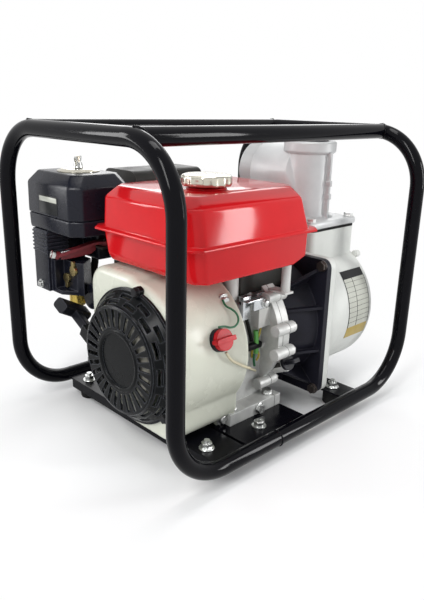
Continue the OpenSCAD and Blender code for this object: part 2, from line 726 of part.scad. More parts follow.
// Fuel tank
function tank_ring(inset, c) = octagon(tank_x - tank_l / 2 + inset, tank_y - tank_w / 2 + inset,
    tank_x + tank_l / 2 - inset, tank_y + tank_w / 2 - inset, c);
function tank_floor(g) = octagon(tank_x - tank_l / 2 + seam_lip + 11 + g,
    tank_y - tank_w / 2 + seam_lip + 1 + g,
    tank_x + tank_l / 2 - seam_lip - 30 - g, tank_y + tank_w / 2 - seam_lip - 6 - g, 14);
function tank_low(g) = octagon(tank_x - tank_l / 2 + seam_lip + 5 + g,
    tank_y - tank_w / 2 + seam_lip + 0.5 + g,
    tank_x + tank_l / 2 - seam_lip - 3 - g, tank_y + tank_w / 2 - seam_lip - 3 - g, 16);
function tank_shoulder(g) = octagon(tank_x - tank_l / 2 + seam_lip - 3 + g,
    tank_y - tank_w / 2 + seam_lip + 8 + g,
    tank_x + tank_l / 2 - seam_lip - 4 - g, tank_y + tank_w / 2 - seam_lip - 4 - g, 22);
function tank_top(g) = octagon(tank_x - tank_l / 2 + seam_lip + 17 + g,
    tank_y - tank_w / 2 + seam_lip + 33 + g,
    tank_x + tank_l / 2 - seam_lip - 5 - g, tank_y + tank_w / 2 - seam_lip - 12 - g, 16);
module slab(points, z) {
    translate([0, 0, z]) linear_extrude(0.1) polygon(points);
}
module tank_form(g) {
    hull() {
        slab(tank_floor(g), tank_floor_z + g);
        slab(tank_low(g), tank_floor_z + 9 + g);
        slab(tank_ring(seam_lip + g, 18), tank_seam_z);
    }
    hull() {
        slab(tank_ring(seam_lip + g, 18), tank_seam_z);
        slab(tank_shoulder(g), tank_shoulder_z - g);
    }
    hull() {
        slab(tank_shoulder(g), tank_shoulder_z - g);
        slab(tank_top(g), tank_top_z - 0.1 - g);
    }
}
module fuel_tank() {
    color("#d3222a") difference() {
        union() {
            tank_form(0);
            along_z(tank_seam_z - 0.5, tank_seam_z + 3) polygon(tank_ring(0, 16));
            zcyl(neck_r, tank_top_z - 6, cap_z - move_gap, cap_x, cap_y);
        }
        tank_form(tank_wall);
        zcyl(neck_r - 2, tank_top_z - 20, cap_z + 1, cap_x, cap_y);
    }
}
module fuel_cap() {
    color("#d9dadb") difference() {
        zcyl(cap_r, cap_z, cap_z + cap_h, cap_x, cap_y);
        for (i = [0 : 9]) translate([cap_x, cap_y, cap_z - 1]) rotate([0, 0, 36 * i])
            translate([cap_r + 3, 0, 0])
            cylinder(r = 6, h = cap_h - 3);
    }
}
function post_places() = [for (x = [block_x + 22, block_x + 50],
    y = [block_near_y + 14, block_far_y - 30]) [x, y]];
stay_x = cover_x - 5;
stay_y = tank_y - tank_w / 2 + seam_lip + 13;
stay_z = polar(cover_bolt_r, 140)[1] + 8.5 + seat_gap;
// Posts under the tank, one of them on a short stay over a cover boss
module tank_posts() {
    color("#b4b7b8") {
        for (p = post_places()) zcyl(11, block_top_z, tank_floor_z, p[0], p[1]);
        box([stay_x - 9, stay_y - 8, stay_z], [stay_x + 8, polar(cover_bolt_r, 140)[0] + 5, stay_z + 3]);
        zcyl(6.5, stay_z + 2, tank_floor_z, stay_x, stay_y);
    }
}

// Carburettor and air cleaner
elbow_x0 = cleaner_x - cleaner_l / 2;
elbow_x1 = carb_x0;
dial_x = elbow_x0 + 20;
duct_w = 38;
module carburetor() {
    color("#b9a25e") union() {
        xcyl(15, carb_x0, carb_x1, carb_y(), carb_z());
        box([carb_x0 + 12, carb_y() - 15, carb_z() - 17], [carb_x1 - 14, carb_y() + 15, carb_z() + 15]);
        box([carb_x1 - 6, carb_y() - 18, carb_z() - 14], [carb_x1, carb_y() + 26, carb_z() + 14]);
    }
}
module carburetor_bowl() {
    color("#c8a54a") turned_z(carb_x0 + 26, carb_y())
        polygon([[0, carb_z() - 44], [10, carb_z() - 44], [17, carb_z() - 38],
        [18, carb_z() - 20], [20, carb_z() - 20], [20, carb_z() - 17], [0, carb_z() - 17]]);
}
module turned_z(x, y) {
    translate([x, y, 0]) rotate_extrude() children();
}
function duct_y1() = cleaner_y + 50;
function duct_bore() = [elbow_x0 + 17, duct_y1() - 19];
module intake_elbow() {
    y1 = duct_y1();
    near = cover_y0() + 21;
    color("#1a1b1d") difference() {
        union() {
            box([elbow_x0, y1 - duct_w, carb_z() + 4], [elbow_x0 + 34, y1, cleaner_z]);
            along_z(carb_z() + 4, carb_z() + 52) polygon([[elbow_x0 + 5, y1], [elbow_x0 + 5, near + 27],
                [elbow_x0 + 26, near], [elbow_x1, near + 21], [elbow_x1, y1]]);
            for (i = [0 : 5]) box([elbow_x0 - 1.2, y1 - duct_w - 1.2, cleaner_z - 5 - 5.5 * i],
                [elbow_x0 + 35, y1 + 1.2, cleaner_z - 2.4 - 5.5 * i]);
            xcyl(19, elbow_x1 - 14, elbow_x1, carb_y() + 8, carb_z());
        }
        box([elbow_x0 + 4, near - 1, carb_z() + 10], [dial_x, near + 43, carb_z() + 53]);
        xcyl(12, elbow_x1 - 10, elbow_x1 + 1, carb_y() + 8, carb_z());
        zcyl(12, carb_z() + 14, cleaner_z + 1, duct_bore()[0], duct_bore()[1]);
        for (p = dial_places()) xcyl(3 + run_gap, dial_x - 1, dial_x + 7, p[0], p[1]);
    }
}
function cover_y0() = housing_side_y + 2;
function dial_places() = [[carb_y() + 18, carb_z() + 40], [carb_y() + 36, carb_z() + 26]];
// Small cup under the intake cover that catches dirt from the fuel
module sediment_cup() {
    color("#c8a54a") turned_z(elbow_x1 - 10, carb_y() + 46)
        polygon([[0, carb_z() - 22], [9, carb_z() - 22], [14, carb_z() - 17],
        [14, carb_z() - 2], [15.5, carb_z() - 2], [15.5, carb_z() + 4], [0, carb_z() + 4]]);
}
// Cleaner outline: cut corners, the one at the recoil end's exhaust side only a little
function cleaner_ring(g, c) = let(x0 = cleaner_x - cleaner_l / 2 + g, y0 = cleaner_y - cleaner_w / 2 + g,
    x1 = cleaner_x + cleaner_l / 2 - g, y1 = cleaner_y + cleaner_w / 2 - g, f = 4)
    [[x0 + c, y0], [x1 - c, y0], [x1, y0 + c], [x1, y1 - c], [x1 - c, y1], [x0 + f, y1], [x0, y1 - f],
    [x0, y0 + c]];
module air_cleaner_base() {
    color("#1d1e20") difference() {
        along_z(cleaner_z, cleaner_cover_z) polygon(cleaner_ring(1, 14));
        along_z(cleaner_z + 4, cleaner_cover_z + 1) polygon(cleaner_ring(4.5, 12));
        zcyl(12, cleaner_z - 1, cleaner_z + 5, duct_bore()[0], duct_bore()[1]);
    }
}
module air_cleaner_cover() {
    bevel_z = cleaner_top_z - 16;
    color("#1d1e20") difference() {
        union() {
            along_z(cleaner_cover_z, bevel_z) polygon(cleaner_ring(0, 14));
            hull() {
                slab(cleaner_ring(0, 14), bevel_z - 0.1);
                slab(cleaner_ring(12, 12), cleaner_top_z - 0.1);
            }
        }
        along_z(cleaner_cover_z - 1, bevel_z - 2) polygon(cleaner_ring(3, 13));
        zcyl(3 + hole_gap, bevel_z - 20, cleaner_top_z + 1, cleaner_x, cleaner_y);
    }
}
module filter_element() {
    color("#c9b27a") difference() {
        zcyl(36, cleaner_z + 4, cleaner_top_z - 18 - 1, cleaner_x, cleaner_y);
        zcyl(22, cleaner_z + 3, cleaner_top_z, cleaner_x, cleaner_y);
    }
}
// Plated disc with the stud that the wing nut runs on
module cover_disc() {
    color("#dcdcd6") {
        turned_z(cleaner_x, cleaner_y) polygon([[0, cleaner_top_z], [disc_r, cleaner_top_z],
            [disc_r, cleaner_top_z + 1.5],
            [disc_r - 6, cleaner_top_z + 4], [0, cleaner_top_z + 4.5]]);
        zcyl(3, cleaner_z + 4, cleaner_top_z + 21, cleaner_x, cleaner_y);
    }
}
module wing_nut() {
    z0 = cleaner_top_z + 4.5 + move_gap;
    color("#cfd0d0") translate([cleaner_x, cleaner_y, z0]) difference() {
        union() {
            cylinder(r1 = 7, r2 = 5.5, h = 8);
            for (s = [-1, 1]) rotate([0, 0, 40]) along_y(-1.5, 1.5)
                polygon([[s * 3, 1], [s * 8, 4], [s * 13, 14], [s * 10, 16], [s * 3, 8]]);
        }
        translate([0, 0, -1]) cylinder(r = 3 + run_gap, h = 20);
    }
}

// Muffler with its exhaust pipe from the head's pump side, and its heat shield
module muffler() {
    port_x = cyl_x + cyl_half_x + 4;
    pipe_x = port_x + 22;
    port = rot2([head_d + head_t / 2, -6], cyl_lean);
    py = crank_y + port[0];
    pz = crank_z + port[1];
    color("#3a3634") union() {
        along_x(muffler_x - muffler_l / 2, muffler_x + muffler_l / 2)
            round_rect(muffler_y - muffler_w / 2, muffler_z, muffler_y + muffler_w / 2,
                muffler_z + muffler_h, 18);
        xcyl(10, port_x, pipe_x, py, pz);
        translate([pipe_x, py, pz]) sphere(10);
        ycyl(10, py, muffler_y, pipe_x, pz);
        translate([pipe_x, muffler_y, pz]) sphere(10);
        zcyl(10, pz, muffler_z + 10, pipe_x, muffler_y);
    }
}
module muffler_shield() {
    g = shield_gap;
    x0 = muffler_x - muffler_l / 2 - g;
    x1 = muffler_x + muffler_l / 2 + g;
    color("#242527") difference() {
        union() {
            difference() {
                along_x(x0, x1) round_rect(muffler_y - muffler_w / 2 - g, muffler_z + 8,
                    muffler_y + muffler_w / 2 + g, muffler_z + muffler_h + g + 4, 16);
                along_x(x0 + shield_t, x1 - shield_t)
                    round_rect(muffler_y - muffler_w / 2 - g + shield_t, muffler_z,
                    muffler_y + muffler_w / 2 + g - shield_t, muffler_z + muffler_h + g + 4 - shield_t, 14);
                box([x0 - 1, muffler_y - muffler_w, muffler_z],
                    [x1 + 1, muffler_y + muffler_w, muffler_z + 30]);
            }
            for (x = [muffler_x - 36, muffler_x + 36])
                zcyl(7, muffler_z + muffler_h, muffler_z + muffler_h + g + 3, x, muffler_y);
        }
        for (i = [0 : 6]) box([muffler_x - 58 + 18 * i, muffler_y + muffler_w / 2, muffler_z + 44],
            [muffler_x - 50 + 18 * i, muffler_y + muffler_w, muffler_z + 84]);
    }
}

// Control levers beside the carburettor
lever_pin = [carb_x1 - 56, carb_y() + 8];
lever_z = cleaner_z - 20;
module control_plate() {
    color("#26272a") union() {
        box([lever_pin[0] - 14, lever_pin[1] - 14, lever_z - 3],
            [lever_pin[0] + 30, lever_pin[1] + 14, lever_z]);
        box([lever_pin[0] + 22, lever_pin[1] - 10, carb_z() + 15],
            [lever_pin[0] + 25, lever_pin[1] + 10, lever_z - 2]);
        zcyl(3, lever_z - 1, lever_z + 9, lever_pin[0], lever_pin[1]);
    }
}
module throttle_lever() {
    color("#a5262b") translate([lever_pin[0], lever_pin[1], lever_z + move_gap]) rotate([0, 0, 158])
        difference() {
        union() {
            cylinder(r = 9, h = 6);
            along_y(-8, 8) polygon([[0, 2], [14, 2], [70, -14], [70, -10], [14, 6], [0, 6]]);
            translate([68, 0, -12]) rotate([0, 74, 0]) translate([0, 0, -2]) cylinder(r = 5.5, h = 12);
        }
        translate([0, 0, -1]) cylinder(r = 3 + run_gap, h = 20);
    }
}
// Lever that turns on the face of the intake cover
module dial_lever(p, a) {
    translate([dial_x - move_gap, p[0], p[1]]) rotate([0, -90, 0]) rotate([0, 0, a]) {
        translate([0, 0, -6]) cylinder(r = 3, h = 7);
        cylinder(r = 7.5, h = 4);
        along_z(0, 4) round_rect(0, -3, 14, 3, 2);
    }
}
module choke_lever() {
    color("#b9a25e") dial_lever(dial_places()[0], 0);
}
module fuel_valve_lever() {
    color("#b9a25e") dial_lever(dial_places()[1], 180);
}

// Engine switch on the fan housing, and the oil level unit with its leads
module switch_base() {
    color("#151515") difference() {
        on_housing(switch_x(), switch_a(), housing_r - 3) cylinder(r = 15, h = 9);
        along_x(housing_x, block_x) translate([crank_y, crank_z]) circle(housing_r + seat_gap);
        on_housing(switch_x(), switch_a(), housing_r - 10) cylinder(r = 4 + run_gap, h = 30);
    }
}
module switch_knob() {
    color("#d8202a") on_housing(switch_x(), switch_a(), housing_r + 6 + move_gap) {
        translate([0, 0, -8]) cylinder(r = 4, h = 9);
        difference() {
            union() {
                cylinder(r = 14, h = 13);
                along_z(3, 13) round_rect(-19, -3, 0, 3, 2.5);
            }
            for (s = [-1, 1]) along_z(7, 14) translate([-15, s * 3.2 + (s < 0 ? -14 : 0)]) square([30, 14]);
        }
        cylinder(r = 14, h = 7);
    }
}
unit_x = cover_x - 34;
module oil_alert_unit() {
    color("#d9d9d6") {
        box([unit_x, block_near_y - 16, crank_z + 20], [unit_x + 24, block_near_y, crank_z + 48]);
        box([unit_x - 10, block_near_y - 3, crank_z + 44], [unit_x + 24, block_near_y, crank_z + 62]);
    }
}
// Wires of the switch and the oil level unit, on points chosen by hand
green_wire = [[-99, -106.9, 212.7], [-100, -114.2, 206.4], [-96, -119.8, 203], [-92.7, -125.8, 198],
    [-93.4, -131, 191.5],
    [-100, -134.2, 185.7], [-110.6, -134.8, 185], [-120.6, -132.8, 188.2], [-130, -131.6, 189.2]];
black_lead = [[-55, -97.9, 199], [-52, -99.4, 190], [-48, -99.6, 180], [-42, -99.6, 168],
    [-34.5, -98.6, 150], [-29, -97.9, 135]];
yellow_lead = [[-17, -104, 156.2], [-18, -103.5, 147], [-20, -102, 138], [-22, -100, 129],
    [-25.8, -98, 120], [-25, -97.2, 107]];
sleeve_wire = [[-126.8, -143.4, 157.5], [-123.6, -143.8, 152], [-115, -142.8, 143],
    [-104.2, -141.7, 135.6], [-95, -141.2, 130],
    [-84.6, -140.2, 124], [-78, -139.6, 120.4], [-68, -130, 115], [-55, -121, 106.7], [-34, -108, 94.3],
        [-17, -97.4, 84.2]];
module wiring() {
    color("#2a6b3a") swept_tube(green_wire, 1.4);
    color("#171717") swept_tube(black_lead, 2.6);
    color("#c9b52c") swept_tube(yellow_lead, 1.6);
    color("#e0d3a4") swept_tube(sleeve_wire, 1.8);
}
module oil_filler_plug() {
    color("#181818") filler_frame() {
        translate([0, 0, -12]) cylinder(r = 8, h = 13 + move_gap);
        translate([0, 0, move_gap]) cylinder(r = 12, h = 5);
        translate([0, 0, 4 + move_gap]) along_y(-3, 3) round_rect(-8, 0, 8, 18, 3);
    }
}

// Pump end
function corner_places() = [for (sy = [-1, 1], sz = [-1, 1]) [crank_y + sy * bolt_half,
    crank_z + sz * bolt_half]];
function impeller_x() = casing_x + 8;
module square_flange(x0, x1) {
    along_x(x0, x1) round_rect(crank_y - flange_half, crank_z - flange_half, crank_y + flange_half,
        crank_z + flange_half, 14);
}
module adapter() {
    r0 = 84;
    r1 = flange_half - 9;
    color("#18191b") difference() {
        union() {
            turned_x() polygon([[0, pto_x], [r0, pto_x], [r0, pto_x + 8], [r0 - 4, pto_x + 10],
                [r1, adapter_x], [0, adapter_x]]);
            square_flange(adapter_x, casing_x);
            for (a = [45 : 90 : 315]) translate([0, crank_y, crank_z]) rotate([a, 0, 0])
                along_z(-2.5, 2.5) polygon([[pto_x, 40], [pto_x, r0],
                    [adapter_x, bolt_half * 1.414 - 8], [adapter_x + 1, 40]]);
            for (a = [0 : 90 : 270], s = [-34, 34]) translate([0, crank_y, crank_z]) rotate([a, 0, 0])
                along_z(s - 2, s + 2) polygon([[pto_x + 3, 40], [pto_x + 3, r0 - 8],
                    [adapter_x, flange_half - 4], [adapter_x + 1, 40]]);
        }
        turned_x() polygon([[0, pto_x - 1], [r0 - 10, pto_x - 1], [r0 - 10, pto_x + 12],
            [r1 - 8, adapter_x - 3], [0, adapter_x - 3]]);
        for (a = cover_bolt_angles()) xcyl(9, pto_x - 1, pto_x + 9, polar(cover_bolt_r, a)[0],
            polar(cover_bolt_r, a)[1]);
        filler_frame() translate([0, 0, -24]) cylinder(r = 15, h = 64);
        filler_frame() cylinder(r = 19, h = 60);
        xcyl(seal_r + seat_gap, adapter_x - 10, casing_x + 1);
        for (p = corner_places()) {
            xcyl(bolt_d / 2 + hole_gap, adapter_x - 1, casing_x + 1, p[0], p[1]);
            xcyl(9, adapter_x - 20, adapter_x, p[0], p[1]);
        }
    }
}
module pump_bolts() {
    color("silver") {
        for (p = corner_places()) translate([adapter_x, p[0], p[1]]) rotate([0, -90, 0])
            hex_bolt(bolt_d, adapter_plate_t + flange_t - 1, bolt_af);
        for (p = outlet_places()) translate([p[0], p[1], elbow_z + elbow_flange_t])
            hex_bolt(bolt_d, elbow_flange_t + gasket_t + 16, bolt_af);
        for (p = suction_places()) translate([suction_face_x, p[0], p[1]]) rotate([0, 90, 0])
            hex_bolt(bolt_d, suction_flange_t + casing_wall - 2, bolt_af);
        for (y = pump_foot_ys()) translate([pump_foot_x, y, deck_z - plate_t]) rotate([180, 0, 0])
            hex_bolt(bolt_d, plate_t + 9, bolt_af);
    }
}
function outlet_places() = [for (sx = [-1, 1], sy = [-1, 1]) [outlet_x + sx * outlet_bolt_half,
    crank_y + sy * outlet_bolt_half]];
function suction_places() = [for (a = [45 : 90 : 315]) [crank_y + suction_bolt_r * cos(a),
    suction_z + suction_bolt_r * sin(a)]];
module pump_casing() {
    e = drum_edge;
    ei = drum_edge - casing_wall;
    color("#dfe1de") difference() {
        union() {
            square_flange(casing_x, casing_x + flange_t);
            turned_x(crank_y, drum_z) {
                translate([0, casing_x + 2]) square([drum_r, drum_end_x - e - casing_x - 2]);
                translate([0, casing_x + 2]) square([drum_r - e, drum_end_x - casing_x - 2]);
                translate([drum_r - e, drum_end_x - e]) circle(e);
            }
            along_z(drum_z + 40, neck_top_z) round_rect(outlet_x - outlet_half, crank_y - outlet_half,
                outlet_x + outlet_half, crank_y + outlet_half, 12);
            along_z(deck_z, drum_z - 60) round_rect(strap_x + 2, crank_y - 40, strap_x + strap_w - 2,
                crank_y + 40, 6);
            zcyl(16, drum_z - drum_r - 6, drum_z - drum_r + 20, drain_plug_x(), crank_y);
        }
        difference() {
            union() {
                turned_x(crank_y, drum_z) {
                    translate([0, casing_x - 1]) square([cavity_r, cavity_end_x - ei - casing_x + 1]);
                    translate([0, casing_x - 1]) square([cavity_r - ei, cavity_end_x - casing_x + 1]);
                    translate([cavity_r - ei, cavity_end_x - ei]) circle(ei);
                }
                zcyl(neck_bore_r, drum_z, neck_top_z + 1, outlet_x, crank_y);
            }
            for (s = [-1, 1]) flap_lug(s);
        }
        for (p = corner_places()) xcyl(bolt_d / 2 + hole_gap, casing_x - 1, casing_x + flange_t, p[0],
            p[1]);
        for (p = outlet_places()) zcyl(bolt_d / 2 + hole_gap, neck_top_z - 18, neck_top_z + 1, p[0], p[1]);
        xcyl(suction_bore_r, cavity_end_x - 1, drum_end_x + 1, crank_y, suction_z);
        for (p = suction_places()) xcyl(bolt_d / 2 + hole_gap, cavity_end_x + 1, drum_end_x + 1, p[0],
            p[1]);
        for (y = pump_foot_ys()) zcyl(bolt_d / 2 + hole_gap, deck_z - 1, deck_z + 10, pump_foot_x, y);
        zcyl(8 + run_gap, drum_z - drum_r - 7, drum_z - cavity_r + 5, drain_plug_x(), crank_y);
        ycyl(pin_r + run_gap, crank_y - 40, crank_y + 40, pivot_x, pivot_z);
    }
}
function drain_plug_x() = outlet_x + 26;
module flap_lug(s) {
    along_y(crank_y + s * 18 - 4, crank_y + s * 18 + 4) {
        translate([pivot_x, pivot_z]) circle(6);
        translate([pivot_x, pivot_z - 6]) square([casing_wall + 4, 12]);
    }
}
module volute() {
    x1 = casing_x + 46;
    color("#b7b9b8") difference() {
        union() {
            xcyl(impeller_r + 12, casing_x, x1);
            along_x(casing_x, x1 - 6) translate([crank_y - 72, crank_z]) square([36, 56]);
        }
        xcyl(impeller_r + 6, casing_x - 1, x1 - 6);
        along_x(casing_x - 1, x1 - 12) translate([crank_y - 66, crank_z]) square([24, 60]);
        xcyl(30, casing_x, x1 + 1);
    }
}
module impeller() {
    x0 = impeller_x();
    color("#8a8e8c") difference() {
        union() {
            xcyl(impeller_r, x0, x0 + 5);
            xcyl(17, x0, x0 + 24);
            for (i = [0 : impeller_vanes - 1]) translate([0, crank_y, crank_z])
                rotate([360 * i / impeller_vanes, 0, 0])
                along_x(x0 + 4, x0 + 20) intersection() {
                    difference() {
                        translate([20, 34]) circle(46);
                        translate([20, 34]) circle(41);
                    }
                    difference() {
                        circle(impeller_r - 1);
                        circle(15);
                    }
                    translate([-10, -62]) square([80, 60]);
                }
        }
        xcyl(pump_shaft_r + seat_gap, x0 - 1, x0 + 30);
    }
}
module mechanical_seal() {
    color("#5b5f63") difference() {
        union() {
            xcyl(seal_r, adapter_x - 2, casing_x);
            xcyl(seal_r - 4, casing_x, impeller_x() - move_gap);
        }
        xcyl(pump_shaft_r + run_gap, adapter_x - 3, impeller_x() + 1);
    }
}
module suction_flange() {
    color("#d5d7d5") difference() {
        union() {
            xcyl(suction_bolt_r + 10, drum_end_x, suction_face_x, crank_y, suction_z);
            xcyl(port_r, suction_face_x - 1, suction_face_x + suction_thread_l, crank_y, suction_z);
        }
        xcyl(suction_bore_r, drum_end_x - 1, suction_face_x + suction_thread_l + 1, crank_y, suction_z);
        for (p = suction_places()) xcyl(bolt_d / 2 + hole_gap, drum_end_x - 1, suction_face_x + 1, p[0],
            p[1]);
    }
}
// Rubber flap with its pin, seated over the suction bore from the inside
module flap_valve() {
    seat_x = cavity_end_x - move_gap;
    color("#222222") union() {
        ycyl(pin_r, crank_y - 22, crank_y + 22, pivot_x, pivot_z);
        xcyl(suction_bore_r + 5, seat_x - 4, seat_x, crank_y, suction_z);
        box([pivot_x - pin_r, crank_y - 12, suction_z + 20], [seat_x, crank_y + 12, pivot_z]);
    }
}
module discharge_elbow() {
    r_end = port_r + 3;
    y_end = crank_y + outlet_reach;
    y_thread = y_end - outlet_thread_l;
    color("#cdd0cf") difference() {
        union() {
            along_z(elbow_z, elbow_z + elbow_flange_t)
                round_rect(outlet_x - outlet_half, crank_y - outlet_half, outlet_x + outlet_half,
                    crank_y + outlet_half, 12);
            zcyl(riser_r, elbow_z + 1, collar_top_z - 16, outlet_x, crank_y);
            zcyl(riser_r + 4.5, collar_top_z - 16, collar_top_z, outlet_x, crank_y);
            hull() {
                ycyl(r_end, crank_y + 10, y_thread, outlet_x, outlet_z, $fn = 48);
                zcyl(riser_r - 0.5, elbow_z + 14, elbow_z + 24, outlet_x, crank_y, $fn = 48);
            }
            ycyl(port_r, y_thread - 1, y_end, outlet_x, outlet_z);
        }
        zcyl(elbow_bore_r, elbow_z - 1, outlet_z, outlet_x, crank_y);
        translate([outlet_x, crank_y, outlet_z]) sphere(elbow_bore_r);
        ycyl(elbow_bore_r, crank_y, y_end + 1, outlet_x, outlet_z);
        zcyl(22 + run_gap, outlet_z, collar_top_z + 1, outlet_x, crank_y);
        for (p = outlet_places()) zcyl(bolt_d / 2 + hole_gap, elbow_z - 1, elbow_z + elbow_flange_t + 1,
            p[0], p[1]);
        for (p = outlet_places()) zcyl(bolt_af * 0.7, elbow_z + elbow_flange_t,
            elbow_z + elbow_flange_t + 40, p[0], p[1]);
    }
}
module discharge_gasket() {
    color("#1c1c1c") difference() {
        along_z(neck_top_z, elbow_z) round_rect(outlet_x - outlet_half, crank_y - outlet_half,
            outlet_x + outlet_half, crank_y + outlet_half, 12);
        zcyl(neck_bore_r - 2, neck_top_z - 1, elbow_z + 1, outlet_x, crank_y);
        for (p = outlet_places()) zcyl(bolt_d / 2 + hole_gap, neck_top_z - 1, elbow_z + 1, p[0], p[1]);
    }
}
module priming_plug() {
    color("#1e1f21") translate([outlet_x, crank_y, collar_top_z + move_gap]) {
        translate([0, 0, -14]) cylinder(r = 22, h = 14);
        cylinder(r = 28, h = 6);
        along_z(6, 16) round_rect(-14, -6, 14, 6, 4);
    }
}
module drain_plug() {
    z0 = drum_z - drum_r - 6 - move_gap;
    color("#1e1f21") translate([drain_plug_x(), crank_y, z0]) {
        cylinder(r = 8, h = 9);
        translate([0, 0, -4]) cylinder(r = 13, h = 4);
        translate([0, 0, -11]) cylinder(d = 17 / cos(30), h = 8, $fn = 6);
    }
}

engine_end_hoop();
pump_end_hoop();
rail_joiners();
top_rails();
front_cross_plate();
engine_base_plate();
pump_cross_strap();
rubber_feet();
foot_bolts();
crankcase();
crankcase_cover();
engine_bolts();
main_bearings();
crankshaft();
flywheel();
starter_cup();
cylinder_head();
rocker_cover();
spark_plug();
spark_plug_cap();
fan_housing();
recoil_cover();
recoil_bolts();
rope_reel();
starter_handle();
fuel_tank();
fuel_cap();
tank_posts();
carburetor();
carburetor_bowl();
sediment_cup();
intake_elbow();
air_cleaner_base();
air_cleaner_cover();
filter_element();
cover_disc();
wing_nut();
muffler();
muffler_shield();
control_plate();
throttle_lever();
choke_lever();
fuel_valve_lever();
switch_base();
switch_knob();
oil_alert_unit();
wiring();
oil_filler_plug();
adapter();
pump_bolts();
pump_casing();
volute();
impeller();
mechanical_seal();
suction_flange();
flap_valve();
discharge_elbow();
discharge_gasket();
priming_plug();
drain_plug();
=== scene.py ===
"""Looks of a portable engine-driven water pump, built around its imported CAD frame."""

from __future__ import annotations

import json
import logging
import math
from dataclasses import dataclass, replace
from enum import Enum
from typing import Any, Sequence

import bmesh
import bpy
from bmesh.types import BMEdge, BMesh, BMVert
from bpy.types import Material, Node, NodeSocket, NodeTree, Object
from mathutils import Matrix, Vector

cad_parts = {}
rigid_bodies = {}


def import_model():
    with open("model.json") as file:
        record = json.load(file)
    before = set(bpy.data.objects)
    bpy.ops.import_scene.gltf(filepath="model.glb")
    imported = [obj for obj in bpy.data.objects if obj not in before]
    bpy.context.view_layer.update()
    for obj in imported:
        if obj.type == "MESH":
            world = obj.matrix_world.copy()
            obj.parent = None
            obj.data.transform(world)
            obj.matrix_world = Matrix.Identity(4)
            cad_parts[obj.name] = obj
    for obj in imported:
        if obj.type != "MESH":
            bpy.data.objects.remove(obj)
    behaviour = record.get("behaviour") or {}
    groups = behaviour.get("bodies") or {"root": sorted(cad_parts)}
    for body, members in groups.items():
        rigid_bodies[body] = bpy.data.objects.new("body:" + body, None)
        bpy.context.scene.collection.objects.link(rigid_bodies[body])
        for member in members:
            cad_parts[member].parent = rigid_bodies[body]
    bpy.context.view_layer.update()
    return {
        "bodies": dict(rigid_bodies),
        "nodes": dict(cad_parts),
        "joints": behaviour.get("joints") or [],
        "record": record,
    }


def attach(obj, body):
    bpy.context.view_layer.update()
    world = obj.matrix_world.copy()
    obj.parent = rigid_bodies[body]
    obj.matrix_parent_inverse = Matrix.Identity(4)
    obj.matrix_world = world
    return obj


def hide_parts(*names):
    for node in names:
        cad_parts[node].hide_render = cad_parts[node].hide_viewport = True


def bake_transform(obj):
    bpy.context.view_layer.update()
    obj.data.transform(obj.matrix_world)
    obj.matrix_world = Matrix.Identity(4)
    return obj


LOG = logging.getLogger("water_pump")
MM = 0.001
MERGE = 1e-6
ROOT = "pump_unit"
CRANK_Y = -37.0
CRANK_Z = 137.0
SIDES = ((-1, "near"), (1, "far"))

Point = Sequence[float]
Pair = tuple[float, float]
Place = tuple[float, float, float]
Colour = tuple[float, float, float]
Profile = Sequence[Pair]
Outline = tuple[Pair, Pair, float]
Edges = list[BMEdge]
Values = dict[str | int, Any]


class Axis(Enum):
    """Axis that a turned piece is spun about."""

    X = Vector((1.0, 0.0, 0.0))
    Y = Vector((0.0, 1.0, 0.0))
    Z = Vector((0.0, 0.0, 1.0))


class Grain(Enum):
    """Surface grain of a finish: how the fine relief is laid."""

    EVEN = (1.0, 1.0, 1.0)
    BRUSHED_X = (0.04, 1.0, 1.0)


@dataclass(frozen=True)
class Finish:
    """One surface finish, with its colour, gloss, grain and edge colour: rubbed wear on most finishes,
    painted highlight on the black plastics.
    """

    name: str
    colour: Colour
    rough: Pair = (0.3, 0.45)
    metallic: float = 0.0
    specular: float = 0.5
    shade: float = 0.12
    patch: float = 30.0
    grain: float = 900.0
    relief: float = 0.05
    edge: float = 0.0008
    wear_and_highlight: float = 0.0
    wear_and_highlight_colour: Colour = (0.5, 0.5, 0.5)
    lay: Grain = Grain.EVEN
    seam_x: float | None = None
    above_z: float | None = None
    above_colour: Colour = (0.6, 0.6, 0.6)


GASKET_DARK: Colour = (0.03, 0.028, 0.025)
FRAME_ENAMEL = Finish("frame_enamel", (0.0025, 0.0025, 0.004), (0.05, 0.10), specular=0.10, grain=260,
                      relief=0.02, edge=0.0012, wear_and_highlight=0.05, wear_and_highlight_colour=(0.04, 0.04, 0.045))
PLATE_ENAMEL = Finish("plate_enamel", (0.0035, 0.0035, 0.0055), (0.14, 0.28), specular=0.08, grain=420,
                      relief=0.04, edge=0.0010, wear_and_highlight=0.12, wear_and_highlight_colour=(0.05, 0.05, 0.055))
WELD = Finish("weld", (0.004, 0.004, 0.0055), (0.14, 0.30), specular=0.10, shade=0.2, patch=90, grain=420,
              relief=0.2)
TANK_ENAMEL = Finish("tank_enamel", (0.60, 0.010, 0.014), (0.06, 0.12), specular=0.22, patch=12, grain=300,
                     relief=0.015, edge=0.0010)
CREAM_ENAMEL = Finish("cream_enamel", (0.66, 0.675, 0.575), (0.20, 0.32), specular=0.4, shade=0.08,
                      patch=16, grain=380, relief=0.03, edge=0.0014)
CAST_SILVER = Finish("cast_silver", (0.64, 0.645, 0.625), (0.36, 0.54), metallic=0.25, shade=0.24,
                     patch=45, grain=1500, relief=0.16, edge=0.0016, wear_and_highlight=0.4,
                     wear_and_highlight_colour=(0.80, 0.80, 0.79))
CASE_SILVER = replace(CAST_SILVER, name="case_silver", seam_x=0.004)
CAST_RAW = Finish("cast_raw", (0.38, 0.39, 0.39), (0.42, 0.60), metallic=0.6, shade=0.25, patch=50,
                  grain=1500, relief=0.2, edge=0.0012)
CASING_PAINT = Finish("casing_paint", (0.66, 0.675, 0.64), (0.34, 0.50), shade=0.10, patch=22, grain=1100,
                      relief=0.12, edge=0.0028, wear_and_highlight=0.12, wear_and_highlight_colour=(0.78, 0.78, 0.75))
